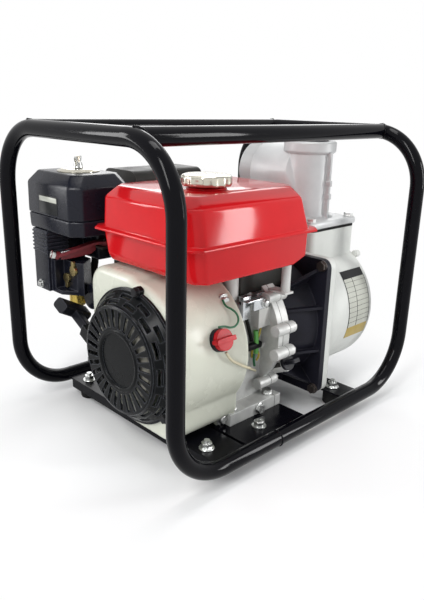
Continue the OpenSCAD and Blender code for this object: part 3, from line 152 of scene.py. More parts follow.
ELBOW_PAINT = Finish("elbow_paint", (0.58, 0.59, 0.59), (0.32, 0.46), metallic=0.15, shade=0.14, patch=20,
                     grain=1200, relief=0.12, edge=0.0024, wear_and_highlight=0.12, wear_and_highlight_colour=(0.72, 0.72, 0.72))
ADAPTER_PAINT = Finish("adapter_paint", (0.0125, 0.0125, 0.0195), (0.30, 0.46), specular=0.14, shade=0.3,
                       patch=40, grain=1300, relief=0.14, edge=0.0018, wear_and_highlight=0.3,
                       wear_and_highlight_colour=(0.06, 0.06, 0.075))
# Painted highlight: the light edge colour of these three black plastics stands in for light caught on their
# rib, slot and handle edges.
BLACK_PLASTIC = Finish("black_plastic", (0.0075, 0.008, 0.0115), (0.32, 0.46), specular=0.14, shade=0.2,
                       grain=2600, relief=0.10, edge=0.0013, wear_and_highlight=0.45, wear_and_highlight_colour=(0.09, 0.09, 0.11))
CLEANER_PLASTIC = Finish("cleaner_plastic", (0.0095, 0.0105, 0.0175), (0.20, 0.34), specular=0.22,
                         shade=0.2, patch=26, grain=2400, relief=0.10, edge=0.0016, wear_and_highlight=0.5,
                         wear_and_highlight_colour=(0.11, 0.115, 0.14))
RECOIL_PLASTIC = Finish("recoil_plastic", (0.003, 0.0036, 0.0042), (0.18, 0.32), specular=0.10, shade=0.2,
                        grain=2200, relief=0.06, edge=0.0011, wear_and_highlight=0.7, wear_and_highlight_colour=(0.10, 0.105, 0.12))
RED_PLASTIC = Finish("red_plastic", (0.58, 0.010, 0.018), (0.22, 0.34), specular=0.14, patch=40, grain=1800,
                     edge=0.0010)
PALE_PLASTIC = Finish("pale_plastic", (0.58, 0.58, 0.55), (0.38, 0.5), shade=0.1, patch=50, grain=1600)
NYLON = Finish("nylon", (0.42, 0.40, 0.34), (0.4, 0.55), shade=0.15, patch=40, grain=1200, relief=0.06)
RUBBER = Finish("rubber", (0.010, 0.010, 0.010), (0.6, 0.8), specular=0.15, shade=0.3, patch=60, grain=1800,
                relief=0.2, edge=0.0012)
FOAM = Finish("foam", (0.45, 0.38, 0.22), (0.8, 0.95), shade=0.4, patch=300, relief=0.6)
PORCELAIN = Finish("porcelain", (0.78, 0.77, 0.73), (0.12, 0.2), shade=0.05, patch=60, grain=600,
                   relief=0.01)
ZINC = Finish("zinc", (0.60, 0.61, 0.60), (0.20, 0.36), metallic=1.0, shade=0.2, patch=90, grain=1600,
              edge=0.0006)
DARK_BOLT = Finish("dark_bolt", (0.10, 0.085, 0.078), (0.28, 0.44), metallic=0.9, shade=0.3, patch=90,
                   grain=1600, relief=0.08, edge=0.0006, above_z=0.25, above_colour=(0.62, 0.63, 0.62))
BLACK_SCREW = Finish("black_screw", (0.02, 0.02, 0.022), (0.3, 0.46), metallic=0.6, specular=0.2, shade=0.3,
                     patch=90, grain=1600, relief=0.08, edge=0.0006)
CHROME = Finish("chrome", (0.62, 0.59, 0.50), (0.16, 0.26), metallic=1.0, shade=0.10, patch=40, relief=0.01,
                edge=0.0010)
PLATED_DISC = Finish("plated_disc", (0.60, 0.57, 0.48), (0.14, 0.26), metallic=1.0, shade=0.1, patch=60,
                     relief=0.02, edge=0.0006)
PALE_BRACKET = Finish("pale_bracket", (0.62, 0.64, 0.66), (0.18, 0.32), metallic=0.9, shade=0.15, patch=60,
                      grain=1400, relief=0.04, edge=0.0005)
STEEL = Finish("steel", (0.42, 0.43, 0.44), (0.22, 0.38), metallic=1.0, shade=0.15, patch=60, grain=1400,
               relief=0.06, edge=0.0005, lay=Grain.BRUSHED_X)
IRON = Finish("iron", (0.24, 0.245, 0.25), (0.5, 0.7), metallic=0.8, shade=0.3, patch=60, relief=0.3)
GOLD_PASSIVATE = Finish("gold_passivate", (0.60, 0.44, 0.10), (0.22, 0.36), metallic=0.8, shade=0.3,
                        patch=60, grain=1200, edge=0.0006)
BRASS = Finish("brass", (0.60, 0.48, 0.22), (0.22, 0.36), metallic=1.0, shade=0.2, patch=70, grain=1200)
LEVER_RED = Finish("lever_red", (0.20, 0.022, 0.030), (0.32, 0.46), specular=0.35, shade=0.3, patch=40,
                   grain=1500, relief=0.06)
MUFFLER_BLACK = Finish("muffler_black", (0.021, 0.020, 0.017), (0.40, 0.56), specular=0.25, shade=0.3,
                       relief=0.12, edge=0.0014, wear_and_highlight=0.25, wear_and_highlight_colour=(0.08, 0.075, 0.07))
WIRE_GREEN = Finish("wire_green", (0.015, 0.15, 0.06), (0.34, 0.48), shade=0.15, patch=120, grain=1500,
                    relief=0.03)
WIRE_YELLOW = replace(WIRE_GREEN, name="wire_yellow", colour=(0.55, 0.42, 0.05))
WIRE_BLACK = Finish("wire_black", (0.006, 0.006, 0.007), (0.34, 0.5), specular=0.15, shade=0.2, patch=120,
                    grain=1500, relief=0.04)
SLEEVE_GREEN = replace(WIRE_GREEN, name="sleeve_green", colour=(0.14, 0.50, 0.10), rough=(0.3, 0.42))
SLEEVE_CREAM = replace(WIRE_GREEN, name="sleeve_cream", colour=(0.66, 0.60, 0.42), rough=(0.4, 0.55),
                       relief=0.05)
ROPE_WHITE = Finish("rope_white", (0.60, 0.58, 0.52), (0.6, 0.8), shade=0.35, patch=420, grain=2400,
                    relief=0.4)
PLATE_AMBER = Finish("plate_amber", (0.42, 0.30, 0.05), (0.28, 0.4), shade=0.1, patch=50, grain=1500,
                     relief=0.02, edge=0.0003)
PLATE_DARK = replace(PLATE_AMBER, name="plate_dark", colour=(0.010, 0.011, 0.012), specular=0.2)
BLANK_PLATE = replace(PLATE_AMBER, name="blank_plate", colour=(0.50, 0.51, 0.45), shade=0.08, relief=0.03)

FINISHED_NODES: tuple[tuple[Finish, str], ...] = (
    (FRAME_ENAMEL, "engine_end_hoop pump_end_hoop top_rails"),
    (PLATE_ENAMEL, "front_cross_plate engine_base_plate pump_cross_strap"),
    (RUBBER, "rubber_feet spark_plug_cap flap_valve discharge_gasket"),
    (ZINC, "foot_bolts engine_bolts wing_nut"),
    (DARK_BOLT, "pump_bolts"),
    (BLACK_SCREW, "recoil_bolts"),
    (CASE_SILVER, "crankcase crankcase_cover"),
    (CAST_SILVER, "tank_posts"),
    (CAST_RAW, "cylinder_head flywheel carburetor"),
    (STEEL, "rail_joiners main_bearings crankshaft starter_cup mechanical_seal"),
    (IRON, "volute impeller"),
    (GOLD_PASSIVATE, "carburetor_bowl sediment_cup"),
    (BRASS, "choke_lever fuel_valve_lever"),
    (MUFFLER_BLACK, "muffler muffler_shield control_plate rocker_cover"),
    (CASING_PAINT, "pump_casing suction_flange"),
    (CLEANER_PLASTIC, "intake_elbow air_cleaner_base air_cleaner_cover"),
    (BLACK_PLASTIC, "starter_handle switch_base oil_filler_plug priming_plug drain_plug"),
    (CREAM_ENAMEL, "fan_housing"),
    (RECOIL_PLASTIC, "recoil_cover"),
    (NYLON, "rope_reel"),
    (TANK_ENAMEL, "fuel_tank"),
    (CHROME, "fuel_cap"),
    (PLATED_DISC, "cover_disc"),
    (LEVER_RED, "throttle_lever"),
    (RED_PLASTIC, "switch_knob"),
    (FOAM, "filter_element"),
    (PORCELAIN, "spark_plug"),
    (ADAPTER_PAINT, "adapter"),
    (ELBOW_PAINT, "discharge_elbow"),
    (PALE_PLASTIC, "oil_alert_unit"),
    (WIRE_BLACK, "wiring"),
)


def add_node(tree: NodeTree, kind: str, values: Values | None = None, **settings: Any) -> Node:
    """Adds a shader node.

    Args:
        tree: Tree that takes the node.
        kind: Type of the node, without the prefix that all of them share.
        values: Plain values of its inputs, by name or by place.
        settings: Properties of the node itself, which are set before the inputs.

    Returns:
        The new node.
    """
    node = tree.nodes.new("ShaderNode" + kind)
    for label, value in settings.items():
        setattr(node, label, value)
    for socket, value in (values or {}).items():
        node.inputs[socket].default_value = value
    return node


def connect(tree: NodeTree, *links: tuple[NodeSocket, NodeSocket]) -> None:
    """Joins an output to an input for each pair of sockets."""
    for source, target in links:
        tree.links.new(source, target)


def looked_at(tree: NodeTree) -> NodeSocket:
    """Adds the test for rays that show the background, straight or by way of metal or glass.

    Args:
        tree: Tree of the floor's material or of the world.

    Returns:
        The socket that is 1 for such rays and 0 for others.
    """
    path = add_node(tree, "LightPath")
    seen = add_node(tree, "Math", operation="MAXIMUM")
    mirrored = add_node(tree, "Math", operation="MAXIMUM")
    connect(tree,
            (path.outputs["Is Camera Ray"], seen.inputs[0]),
            (path.outputs["Is Glossy Ray"], seen.inputs[1]),
            (seen.outputs[0], mirrored.inputs[0]),
            (path.outputs["Is Transmission Ray"], mirrored.inputs[1]))
    return mirrored.outputs[0]


class FinishBook:
    """Makes each finish's material once, from shared shader node groups."""

    bevel_samples: int = 4
    coarse_share: float = 0.22
    seam_half: float = 0.0005
    wear_and_highlight_reach: float = 1.6
    wear_and_highlight_gain: float = 2.0
    grain_depth: float = 0.0008

    def __init__(self) -> None:
        """Builds the groups that the materials share."""
        self.made: dict[str, Material] = {}
        self.mottle = self._mottle_group()
        self.relief = self._relief_group()
        self.edge_wear_and_highlight = self._edge_wear_and_highlight_group()
        self.seam = self._plane_group("joint_seam", Axis.X, "Place", "COMPARE")
        self.level = self._plane_group("level_mask", Axis.Z, "Level", "GREATER_THAN")

    @staticmethod
    def _group(name: str, inputs: Sequence[str], output: str) -> tuple[NodeTree, Node, Node]:
        """Starts a shader node group that reads a vector and some values and puts out one value.

        Args:
            name: Name of the group.
            inputs: Names of its inputs besides Vector.
            output: Name of its output.

        Returns:
            The group's tree, its input node and its output node.
        """
        tree = bpy.data.node_groups.new(name, "ShaderNodeTree")
        tree.interface.new_socket("Vector", in_out="INPUT", socket_type="NodeSocketVector")
        for label in inputs:
            tree.interface.new_socket(label, in_out="INPUT", socket_type="NodeSocketFloat")
        tree.interface.new_socket(output, in_out="OUTPUT", socket_type="NodeSocketFloat")
        return tree, tree.nodes.new("NodeGroupInput"), tree.nodes.new("NodeGroupOutput")

    def _mottle_group(self) -> NodeTree:
        """Makes the group of slow tone changes.

        Returns:
            The group, whose Mask runs from 0 to 1 over the surface.
        """
        tree, start, end = self._group("tone_mottle", ("Scale",), "Mask")
        noise = add_node(tree, "TexNoise", {"Detail": 6.0, "Roughness": 0.62})
        ramp = add_node(tree, "MapRange", {"From Min": 0.3, "From Max": 0.7})
        connect(tree,
                (start.outputs["Vector"], noise.inputs["Vector"]),
                (start.outputs["Scale"], noise.inputs["Scale"]),
                (noise.outputs["Fac"], ramp.inputs["Value"]),
                (ramp.outputs["Result"], end.inputs["Mask"]))
        return tree

    def _relief_group(self) -> NodeTree:
        """Makes the group of fine relief.

        Returns:
            The group, whose Height adds up two sizes of grain.
        """
        tree, start, end = self._group("fine_relief", ("Scale",), "Height")
        fine = add_node(tree, "TexNoise", {"Detail": 3.0})
        coarse = add_node(tree, "TexNoise", {"Detail": 2.0})
        slower = add_node(tree, "Math", {1: self.coarse_share}, operation="MULTIPLY")
        total = add_node(tree, "Math", operation="ADD")
        connect(tree,
                (start.outputs["Vector"], fine.inputs["Vector"]),
                (start.outputs["Vector"], coarse.inputs["Vector"]),
                (start.outputs["Scale"], fine.inputs["Scale"]),
                (start.outputs["Scale"], slower.inputs[0]),
                (slower.outputs[0], coarse.inputs["Scale"]),
                (fine.outputs["Fac"], total.inputs[0]),
                (coarse.outputs["Fac"], total.inputs[1]),
                (total.outputs[0], end.inputs["Height"]))
        return tree

    def _edge_wear_and_highlight_group(self) -> NodeTree:
        """Makes the group that finds rubbed edges, whose colour is wear on most finishes and painted
        highlight on the black plastics.

        Returns:
            The group, whose Mask shows where a rounded normal leaves the true one.
        """
        tree, start, end = self._group("edge_wear_and_highlight", ("Radius", "Amount"), "Mask")
        bevel = add_node(tree, "Bevel", samples=self.bevel_samples)
        geometry = add_node(tree, "NewGeometry")
        dot = add_node(tree, "VectorMath", operation="DOT_PRODUCT")
        ramp = add_node(tree, "MapRange", {"From Min": 0.995, "From Max": 0.90})
        noise = add_node(tree, "TexNoise", {"Scale": 160.0, "Detail": 4.0})
        rubbed_and_lit = add_node(tree, "Math", operation="MULTIPLY")
        scale = add_node(tree, "Math", operation="MULTIPLY", use_clamp=True)
        connect(tree,
                (start.outputs["Radius"], bevel.inputs["Radius"]),
                (bevel.outputs["Normal"], dot.inputs[0]),
                (geometry.outputs["Normal"], dot.inputs[1]),
                (dot.outputs["Value"], ramp.inputs["Value"]),
                (start.outputs["Vector"], noise.inputs["Vector"]),
                (ramp.outputs["Result"], rubbed_and_lit.inputs[0]),
                (noise.outputs["Fac"], rubbed_and_lit.inputs[1]),
                (rubbed_and_lit.outputs[0], scale.inputs[0]),
                (start.outputs["Amount"], scale.inputs[1]),
                (scale.outputs[0], end.inputs["Mask"]))
        return tree

    def _plane_group(self, name: str, axis: Axis, socket: str, operation: str) -> NodeTree:
        """Makes a group that tells on which side of a plane a point lies, or whether it is in it.

        Args:
            name: Name of the group.
            axis: Axis that the plane stands across.
            socket: Name of the input that gives the plane's place.
            operation: Comparison of the point with that place.

        Returns:
            The group, whose Mask is 1 where the comparison holds.
        """
        tree, start, end = self._group(name, (socket,), "Mask")
        split = add_node(tree, "SeparateXYZ")
        test = add_node(tree, "Math", {2: self.seam_half}, operation=operation)
        connect(tree,
                (start.outputs["Vector"], split.inputs["Vector"]),
                (split.outputs[axis.name], test.inputs[0]),
                (start.outputs[socket], test.inputs[1]),
                (test.outputs[0], end.inputs["Mask"]))
        return tree

    @staticmethod
    def _use(tree: NodeTree, group: NodeTree, vector: NodeSocket, values: Values) -> NodeSocket:
        """Places a shared group in a material.

        Args:
            tree: The material's tree.
            group: The group to place.
            vector: Socket that feeds the group's Vector.
            values: The group's other inputs.

        Returns:
            The socket of the group's output.
        """
        node = add_node(tree, "Group", values, node_tree=group)
        connect(tree, (vector, node.inputs["Vector"]))
        return node.outputs[0]

    def get(self, finish: Finish) -> Material:
        """Hands out the material of a finish, which is made on its first use.

        Args:
            finish: The finish.

        Returns:
            Its material.
        """
        if finish.name not in self.made:
            self.made[finish.name] = self._make(finish)
        return self.made[finish.name]

    def _layers(self, finish: Finish) -> list[tuple[NodeTree, Values, Colour]]:
        """Lists the colours that lie over a finish's ground colour.

        Args:
            finish: The finish.

        Returns:
            The group that masks each colour, the group's values and the colour, from below upwards.
        """
        layers = []
        # Edge colour: rubbed wear on most finishes, painted highlight on the black plastics.
        if finish.wear_and_highlight > 0.0:
            worn_and_lit = {"Radius": finish.edge * self.wear_and_highlight_reach, "Amount": finish.wear_and_highlight * self.wear_and_highlight_gain}
            layers.append((self.edge_wear_and_highlight, worn_and_lit, finish.wear_and_highlight_colour))
        if finish.seam_x is not None:
            layers.append((self.seam, {"Place": finish.seam_x}, GASKET_DARK))
        if finish.above_z is not None:
            layers.append((self.level, {"Level": finish.above_z}, finish.above_colour))
        return layers

    def _make(self, finish: Finish) -> Material:
        """Builds one material.

        Args:
            finish: The finish's colours, gloss, grain and edge colour, which is wear and painted edge
                highlight.

        Returns:
            The material, with a Principled BSDF fed by the shared groups.
        """
        material = bpy.data.materials.new(finish.name)
        material.use_nodes = True
        tree = material.node_tree
        shader = tree.nodes["Principled BSDF"]
        shader.inputs["Metallic"].default_value = finish.metallic
        shader.inputs["Specular IOR Level"].default_value = finish.specular
        place = add_node(tree, "TexCoord").outputs["Object"]

        mottle = self._use(tree, self.mottle, place, {"Scale": finish.patch})
        darker = [c * (1.0 - finish.shade) for c in finish.colour]
        tone = add_node(tree, "Mix", {"A": (*finish.colour, 1.0), "B": (*darker, 1.0)}, data_type="RGBA")
        connect(tree, (mottle, tone.inputs["Factor"]))
        colour = tone.outputs["Result"]
        for group, values, second in self._layers(finish):
            mask = self._use(tree, group, place, values)
            mix = add_node(tree, "Mix", {"B": (*second, 1.0)}, data_type="RGBA")
            connect(tree, (mask, mix.inputs["Factor"]), (colour, mix.inputs["A"]))
            colour = mix.outputs["Result"]

        low, high = finish.rough
        gloss = add_node(tree, "MapRange", {"To Min": low, "To Max": high})
        lay = add_node(tree, "Mapping", {"Scale": finish.lay.value})
        relief = self._use(tree, self.relief, lay.outputs["Vector"], {"Scale": finish.grain})
        rounded = add_node(tree, "Bevel", {"Radius": finish.edge}, samples=self.bevel_samples)
        bump = add_node(tree, "Bump", {"Strength": finish.relief, "Distance": self.grain_depth})
        connect(tree,
                (colour, shader.inputs["Base Color"]),
                (mottle, gloss.inputs["Value"]),
                (gloss.outputs["Result"], shader.inputs["Roughness"]),
                (place, lay.inputs["Vector"]),
                (relief, bump.inputs["Height"]),
                (rounded.outputs["Normal"], bump.inputs["Normal"]),
                (bump.outputs["Normal"], shader.inputs["Normal"]))
        return material


def place_of(x: float, y: float, z: float) -> Vector:
    """Returns a point in metres from its millimetres."""
    return Vector((x, y, z)) * MM


def loft(bm: BMesh, sections: Sequence[Sequence[Point]], capped: bool = True) -> None:
    """Extrudes a closed section through further ones of equal count.

    Args:
        bm: Mesh that takes the loft.
        sections: Sections in millimetres, in order.
        capped: Whether the first and the last section get a face.
    """
    ring = [bm.verts.new(place_of(*p)) for p in sections[0]]
    loop = first = [bm.edges.new(pair) for pair in zip(ring, ring[1:] + ring[:1])]
    for section in sections[1:]:
        grown = bmesh.ops.extrude_edge_only(bm, edges=loop)["geom"]
        fresh = {g for g in grown if isinstance(g, BMVert)}
        ring = [next(v for v in (e.other_vert(old) for e in old.link_edges) if v in fresh) for old in ring]
        for vert, point in zip(ring, section):
            vert.co = place_of(*point)
        loop = [g for g in grown if isinstance(g, BMEdge) and set(g.verts) <= fresh]
    if capped:
        for end in (first, loop):
            bmesh.ops.contextual_create(bm, geom=end)


def turned(bm: BMesh, profile: Profile, centre: Point, axis: Axis, steps: int = 32) -> None:
    """Spins an open profile all round an axis.

    Args:
        bm: Mesh that takes the turned form.
        profile: Radius and height along the axis of each point, in millimetres.
        centre: Point on the axis at height nought, in millimetres.
        axis: Axis of the turning.
        steps: Count of steps round the axis.
    """
    out = Axis.Y.value if axis is Axis.X else Axis.X.value
    origin = place_of(*centre)
    verts = [bm.verts.new(origin + (out * r + axis.value * h) * MM) for r, h in profile]
    edges = [bm.edges.new(pair) for pair in zip(verts, verts[1:])]
    bmesh.ops.spin(bm, geom=verts + edges, cent=origin, axis=axis.value, angle=math.tau, steps=steps,
                   use_merge=True)
    bmesh.ops.remove_doubles(bm, verts=bm.verts, dist=MERGE)


def soften(bm: BMesh, edges: Edges, radius: float, segments: int = 3) -> None:
    """Rounds edges by a radius in millimetres."""
    bmesh.ops.bevel(bm, geom=edges, offset=radius * MM, offset_type="OFFSET", affect="EDGES",
                    segments=segments, profile=0.5, material=-1, clamp_overlap=True)


def sharp_edges(bm: BMesh, angle: float) -> Edges:
    """Returns the edges that turn by more than an angle in degrees."""
    limit = math.radians(angle)
    return [e for e in bm.edges if len(e.link_faces) == 2 and e.calc_face_angle(0.0) > limit]


def octagon(low: Pair, high: Pair, corner: float, z: float) -> list[Point]:
    """Returns a level rectangle with cut corners.

    Args:
        low: Lowest X and Y in millimetres.
        high: Highest X and Y in millimetres.
        corner: Length cut off each side at a corner.
        z: Height in millimetres.

    Returns:
        Its eight corners, counter-clockwise.
    """
    (x0, y0), (x1, y1), c = low, high, corner
    flat = ((x0 + c, y0), (x1 - c, y0), (x1, y0 + c), (x1, y1 - c),
            (x1 - c, y1), (x0 + c, y1), (x0, y1 - c), (x0, y0 + c))
    return [(x, y, z) for x, y in flat]


@dataclass(frozen=True)
class Block:
    """Box with rounded edges, in millimetres."""

    low: Place
    high: Place
    edge: float
    segments: int = 3

    def add(self, bm: BMesh) -> None:
        """Adds the box to a mesh.

        Args:
            bm: Mesh that takes the box.
        """
        low, high = Vector(self.low), Vector(self.high)
        matrix = Matrix.Translation((high + low) / 2 * MM) @ Matrix.Diagonal((*((high - low) * MM), 1.0))
        made = bmesh.ops.create_cube(bm, size=1.0, matrix=matrix)
        edges = dict.fromkeys(e for v in made["verts"] for e in v.link_edges)
        soften(bm, list(edges), self.edge, self.segments)


@dataclass(frozen=True)
class BoltHead:
    """Flanged head of a bolt or a screw, in millimetres."""

    crown_r: float
    head_r: float
    flange_r: float
    height: float
    bevel: float
    flange: float
    seat: float = -0.1
    slope: float = 0.2
    steps: int = 32

    def add(self, bm: BMesh, place: Point, axis: Axis, way: int) -> None:
        """Turns the head on its seat.

        Args:
            bm: Mesh that takes the head.
            place: Middle of the seat in millimetres.
            axis: Axis of the bolt.
            way: 1 where the head looks along the axis, -1 where it looks the other way.
        """
        profile = ((0.0, self.height), (self.crown_r, self.height), (self.head_r, self.height - self.bevel),
                   (self.head_r, self.flange), (self.flange_r, self.flange - self.slope),
                   (self.flange_r, self.seat), (0.0, self.seat))
        turned(bm, [(r, way * h) for r, h in profile], place, axis, self.steps)


class Workbench:
    """Turns meshes into pieces of the object: dresses them and sets them on their CAD bodies."""

    tube_sides: int = 4
    tube_steps: int = 8
    tube_crease: float = 50.0

    def __init__(self, frame: dict[str, Any], book: FinishBook) -> None:
        """Keeps the frame's nodes and the book of finishes."""
        self.nodes: dict[str, Object] = frame["nodes"]
        self.book = book

    def dress_nodes(self) -> None:
        """Gives every CAD node the material of its finish."""
        finishes = {node: finish for finish, names in FINISHED_NODES for node in names.split()}
        for name, node in self.nodes.items():
            node.data.materials.clear()
            node.data.materials.append(self.book.get(finishes[name]))

    def piece(self, name: str, bm: BMesh, finish: Finish, slot: str, body: str | None = ROOT,
              stands_for: Sequence[str] = (), crease: float = 34.0) -> Object:
        """Makes a piece from a finished bmesh.

        Args:
            name: Name of the piece.
            bm: Its mesh, which is freed.
            finish: Its finish.
            slot: Name of the record's material slot; not used.
            body: The CAD body it rides on, or None where it rides on no body.
            stands_for: CAD nodes that it replaces.
            crease: Angle in degrees from which an edge stays sharp.

        Returns:
            The new object.
        """
        bmesh.ops.remove_doubles(bm, verts=bm.verts, dist=MERGE)
        bmesh.ops.recalc_face_normals(bm, faces=bm.faces)
        for face in bm.faces:
            face.smooth = True
        for edge in sharp_edges(bm, crease):
            edge.smooth = False
        mesh = bpy.data.meshes.new(name)
        bm.to_mesh(mesh)
        bm.free()
        mesh.materials.append(self.book.get(finish))
        obj = bpy.data.objects.new(name, mesh)
        bpy.context.scene.collection.objects.link(obj)
        if body is not None:
            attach(obj, body)
        if stands_for:
            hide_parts(*stands_for)
        LOG.info("piece %s on %s, %d faces", name, body, len(mesh.polygons))
        return obj

    def blocks(self, name: str, finish: Finish, slot: str, *boxes: Block) -> None:
        """Makes a piece of rounded boxes.

        Args:
            name: Name of the piece.
            finish: Its finish.
            slot: Name of the record's material slot; not used.
            boxes: The boxes.
        """
        bm = bmesh.new()
        for box in boxes:
            box.add(bm)
        self.piece(name, bm, finish, slot)

    def tube(self, name: str, points: Sequence[Point], radius: float, finish: Finish, slot: str,
             stands_for: Sequence[str] = (), closed: bool = False,
             taper: Sequence[float] | None = None) -> None:
        """Makes a piece of a round tube that is swept along a smooth route.

        Args:
            name: Name of the piece.
            points: Points that the route runs through, in millimetres.
            radius: Radius in millimetres.
            finish: Its finish.
            slot: Name of the record's material slot; not used.
            stands_for: CAD nodes that it replaces.
            closed: Whether the route runs back into its first point.
            taper: Share of the radius at each point.
        """
        curve = bpy.data.curves.new(name, "CURVE")
        curve.dimensions = "3D"
        curve.bevel_depth = radius * MM
        curve.bevel_resolution = self.tube_sides
        curve.use_fill_caps = True
        curve.resolution_u = self.tube_steps
        spline = curve.splines.new("BEZIER")
        spline.bezier_points.add(len(points) - 1)
        spline.use_cyclic_u = closed
        for knot, point, share in zip(spline.bezier_points, points, taper or [1.0] * len(points)):
            knot.co = place_of(*point)
            knot.handle_left_type = knot.handle_right_type = "AUTO"
            knot.radius = share
        holder = bpy.data.objects.new(name, curve)
        bpy.context.scene.collection.objects.link(holder)
        bpy.context.view_layer.update()
        graph = bpy.context.evaluated_depsgraph_get()
        swept = bpy.data.meshes.new_from_object(holder.evaluated_get(graph))
        bm = bmesh.new()
        bm.from_mesh(swept)
        bpy.data.objects.remove(holder)
        bpy.data.curves.remove(curve)
        bpy.data.meshes.remove(swept)
        self.piece(name, bm, finish, slot, stands_for=stands_for, crease=self.tube_crease)


@dataclass
class RollFrame:
    """Roll frame of bent tube: weld beads, washers and a bolt on the CAD tubes and plates."""

    bench: Workbench
    tube_r: float = 11.0
    leg_y: float = 182.0
    rail_z: float = 27.0
    top_z: float = 422.0
    top_rail_y: float = 113.0
    joint_x: float = -63.0
    hoop_x: Pair = (-244.0, 240.0)
    bead: float = 1.1
    bead_lift: float = 0.2
    ripple: Pair = (0.86, 1.1)
    ripple_length: float = 2.2
    ring_steps: int = 36
    plate_z: float = 28.0
    plate_bead: Pair = (-0.4, 0.7)
    plate_spans: tuple[tuple[str, float, float], ...] = (
        ("front", -170.0, -112.0), ("engine", -107.0, 16.0), ("pump", 106.0, 146.0))
    foot_places: tuple[Pair, ...] = ((-152.0, -138.0), (-152.0, 138.0), (126.0, -138.0), (126.0, 138.0))
    washer: Profile = ((4.6, 0.05), (10.0, 0.05), (10.6, 0.6), (10.0, 1.3), (4.6, 1.5), (4.6, 0.05))
    plate_bolt: Pair = (-58.0, -145.0)
    bolt: BoltHead = BoltHead(6.0, 7.2, 10.2, height=9.0, bevel=1.2, flange=2.0, seat=0.05)

    def build(self) -> None:
        """Adds the beads and the washers."""
        self._rail_welds()
        self._plate_welds()
        self._butt_seams()
        self._foot_washers()

    def _bead(self, name: str, run: Sequence[Point], closed: bool) -> None:
        """Lays a weld bead with small ripples.

        Args:
            name: Name of the piece.
            run: Points that the bead follows, in millimetres.
            closed: Whether it runs back into its first point.
        """
        shares = [self.ripple[i % 2] for i in range(len(run))]
        self.bench.tube(name, run, self.bead, WELD, "frame_black", closed=closed, taper=shares)

    def _round(self) -> list[Pair]:
        """Returns points round the tube's section, about its middle."""
        turns = [math.tau * i / self.ring_steps for i in range(self.ring_steps)]
        return [(math.cos(a) * self.tube_r, math.sin(a) * self.tube_r) for a in turns]

    def _rail_welds(self) -> None:
        """Runs a bead round each end of each top rail, where it meets a hoop's top bar."""
        ends = [(side, x, inward) for side, _ in SIDES for x, inward in zip(self.hoop_x, (1, -1))]
        for number, (side, x, inward) in enumerate(ends, 1):
            ring = []
            for y, z in self._round():
                reach = math.sqrt(max(self.tube_r ** 2 - z ** 2, 0.0)) + self.bead_lift
                ring.append((x + inward * reach, side * self.top_rail_y + y, self.top_z + z))
            self._bead(f"rail_weld_{number}", ring, True)

    def _plate_welds(self) -> None:
        """Runs a bead along each end of each cross plate, where it meets a bottom rail."""
        out, up = self.plate_bead
        for name, x0, x1 in self.plate_spans:
            count = int((x1 - x0) / self.ripple_length)
            for side, label in SIDES:
                y = side * (self.leg_y - self.tube_r + out)
                run = [(x0 + (x1 - x0) * i / count, y, self.plate_z + up) for i in range(count + 1)]
                self._bead(f"plate_weld_{name}_{label}", run, False)

    def _butt_seams(self) -> None:
        """Rings each lower rail with the bead of the joint between the two hoops."""
        for side, label in SIDES:
            ring = [(self.joint_x, side * self.leg_y + y, self.rail_z + z) for y, z in self._round()]
            self._bead(f"butt_seam_{label}", ring, True)

    def _foot_washers(self) -> None:
        """Puts a flanged washer under each foot nut, and a bolt on the engine's plate."""
        bm = bmesh.new()
        for x, y in self.foot_places:
            turned(bm, self.washer, (x, y, self.plate_z), Axis.Z)
        self.bolt.add(bm, (*self.plate_bolt, self.plate_z), Axis.Z, 1)
        self.bench.piece("foot_washers", bm, ZINC, "zinc")


@dataclass(frozen=True)
class RoundRect:
    """Upright rectangle with round corners, in millimetres."""

    y0: float
    z0: float
    y1: float
    z1: float
    corner: float

    def holds(self, y: float, z: float) -> bool:
        """Tells whether a point lies in the rectangle.

        Args:
            y: The point's Y in millimetres.
            z: The point's Z in millimetres.

        Returns:
            True where it does.
        """
        r = self.corner
        dy = max(self.y0 + r - y, 0.0, y - (self.y1 - r))
        dz = max(self.z0 + r - z, 0.0, z - (self.z1 - r))
        return math.hypot(dy, dz) <= r


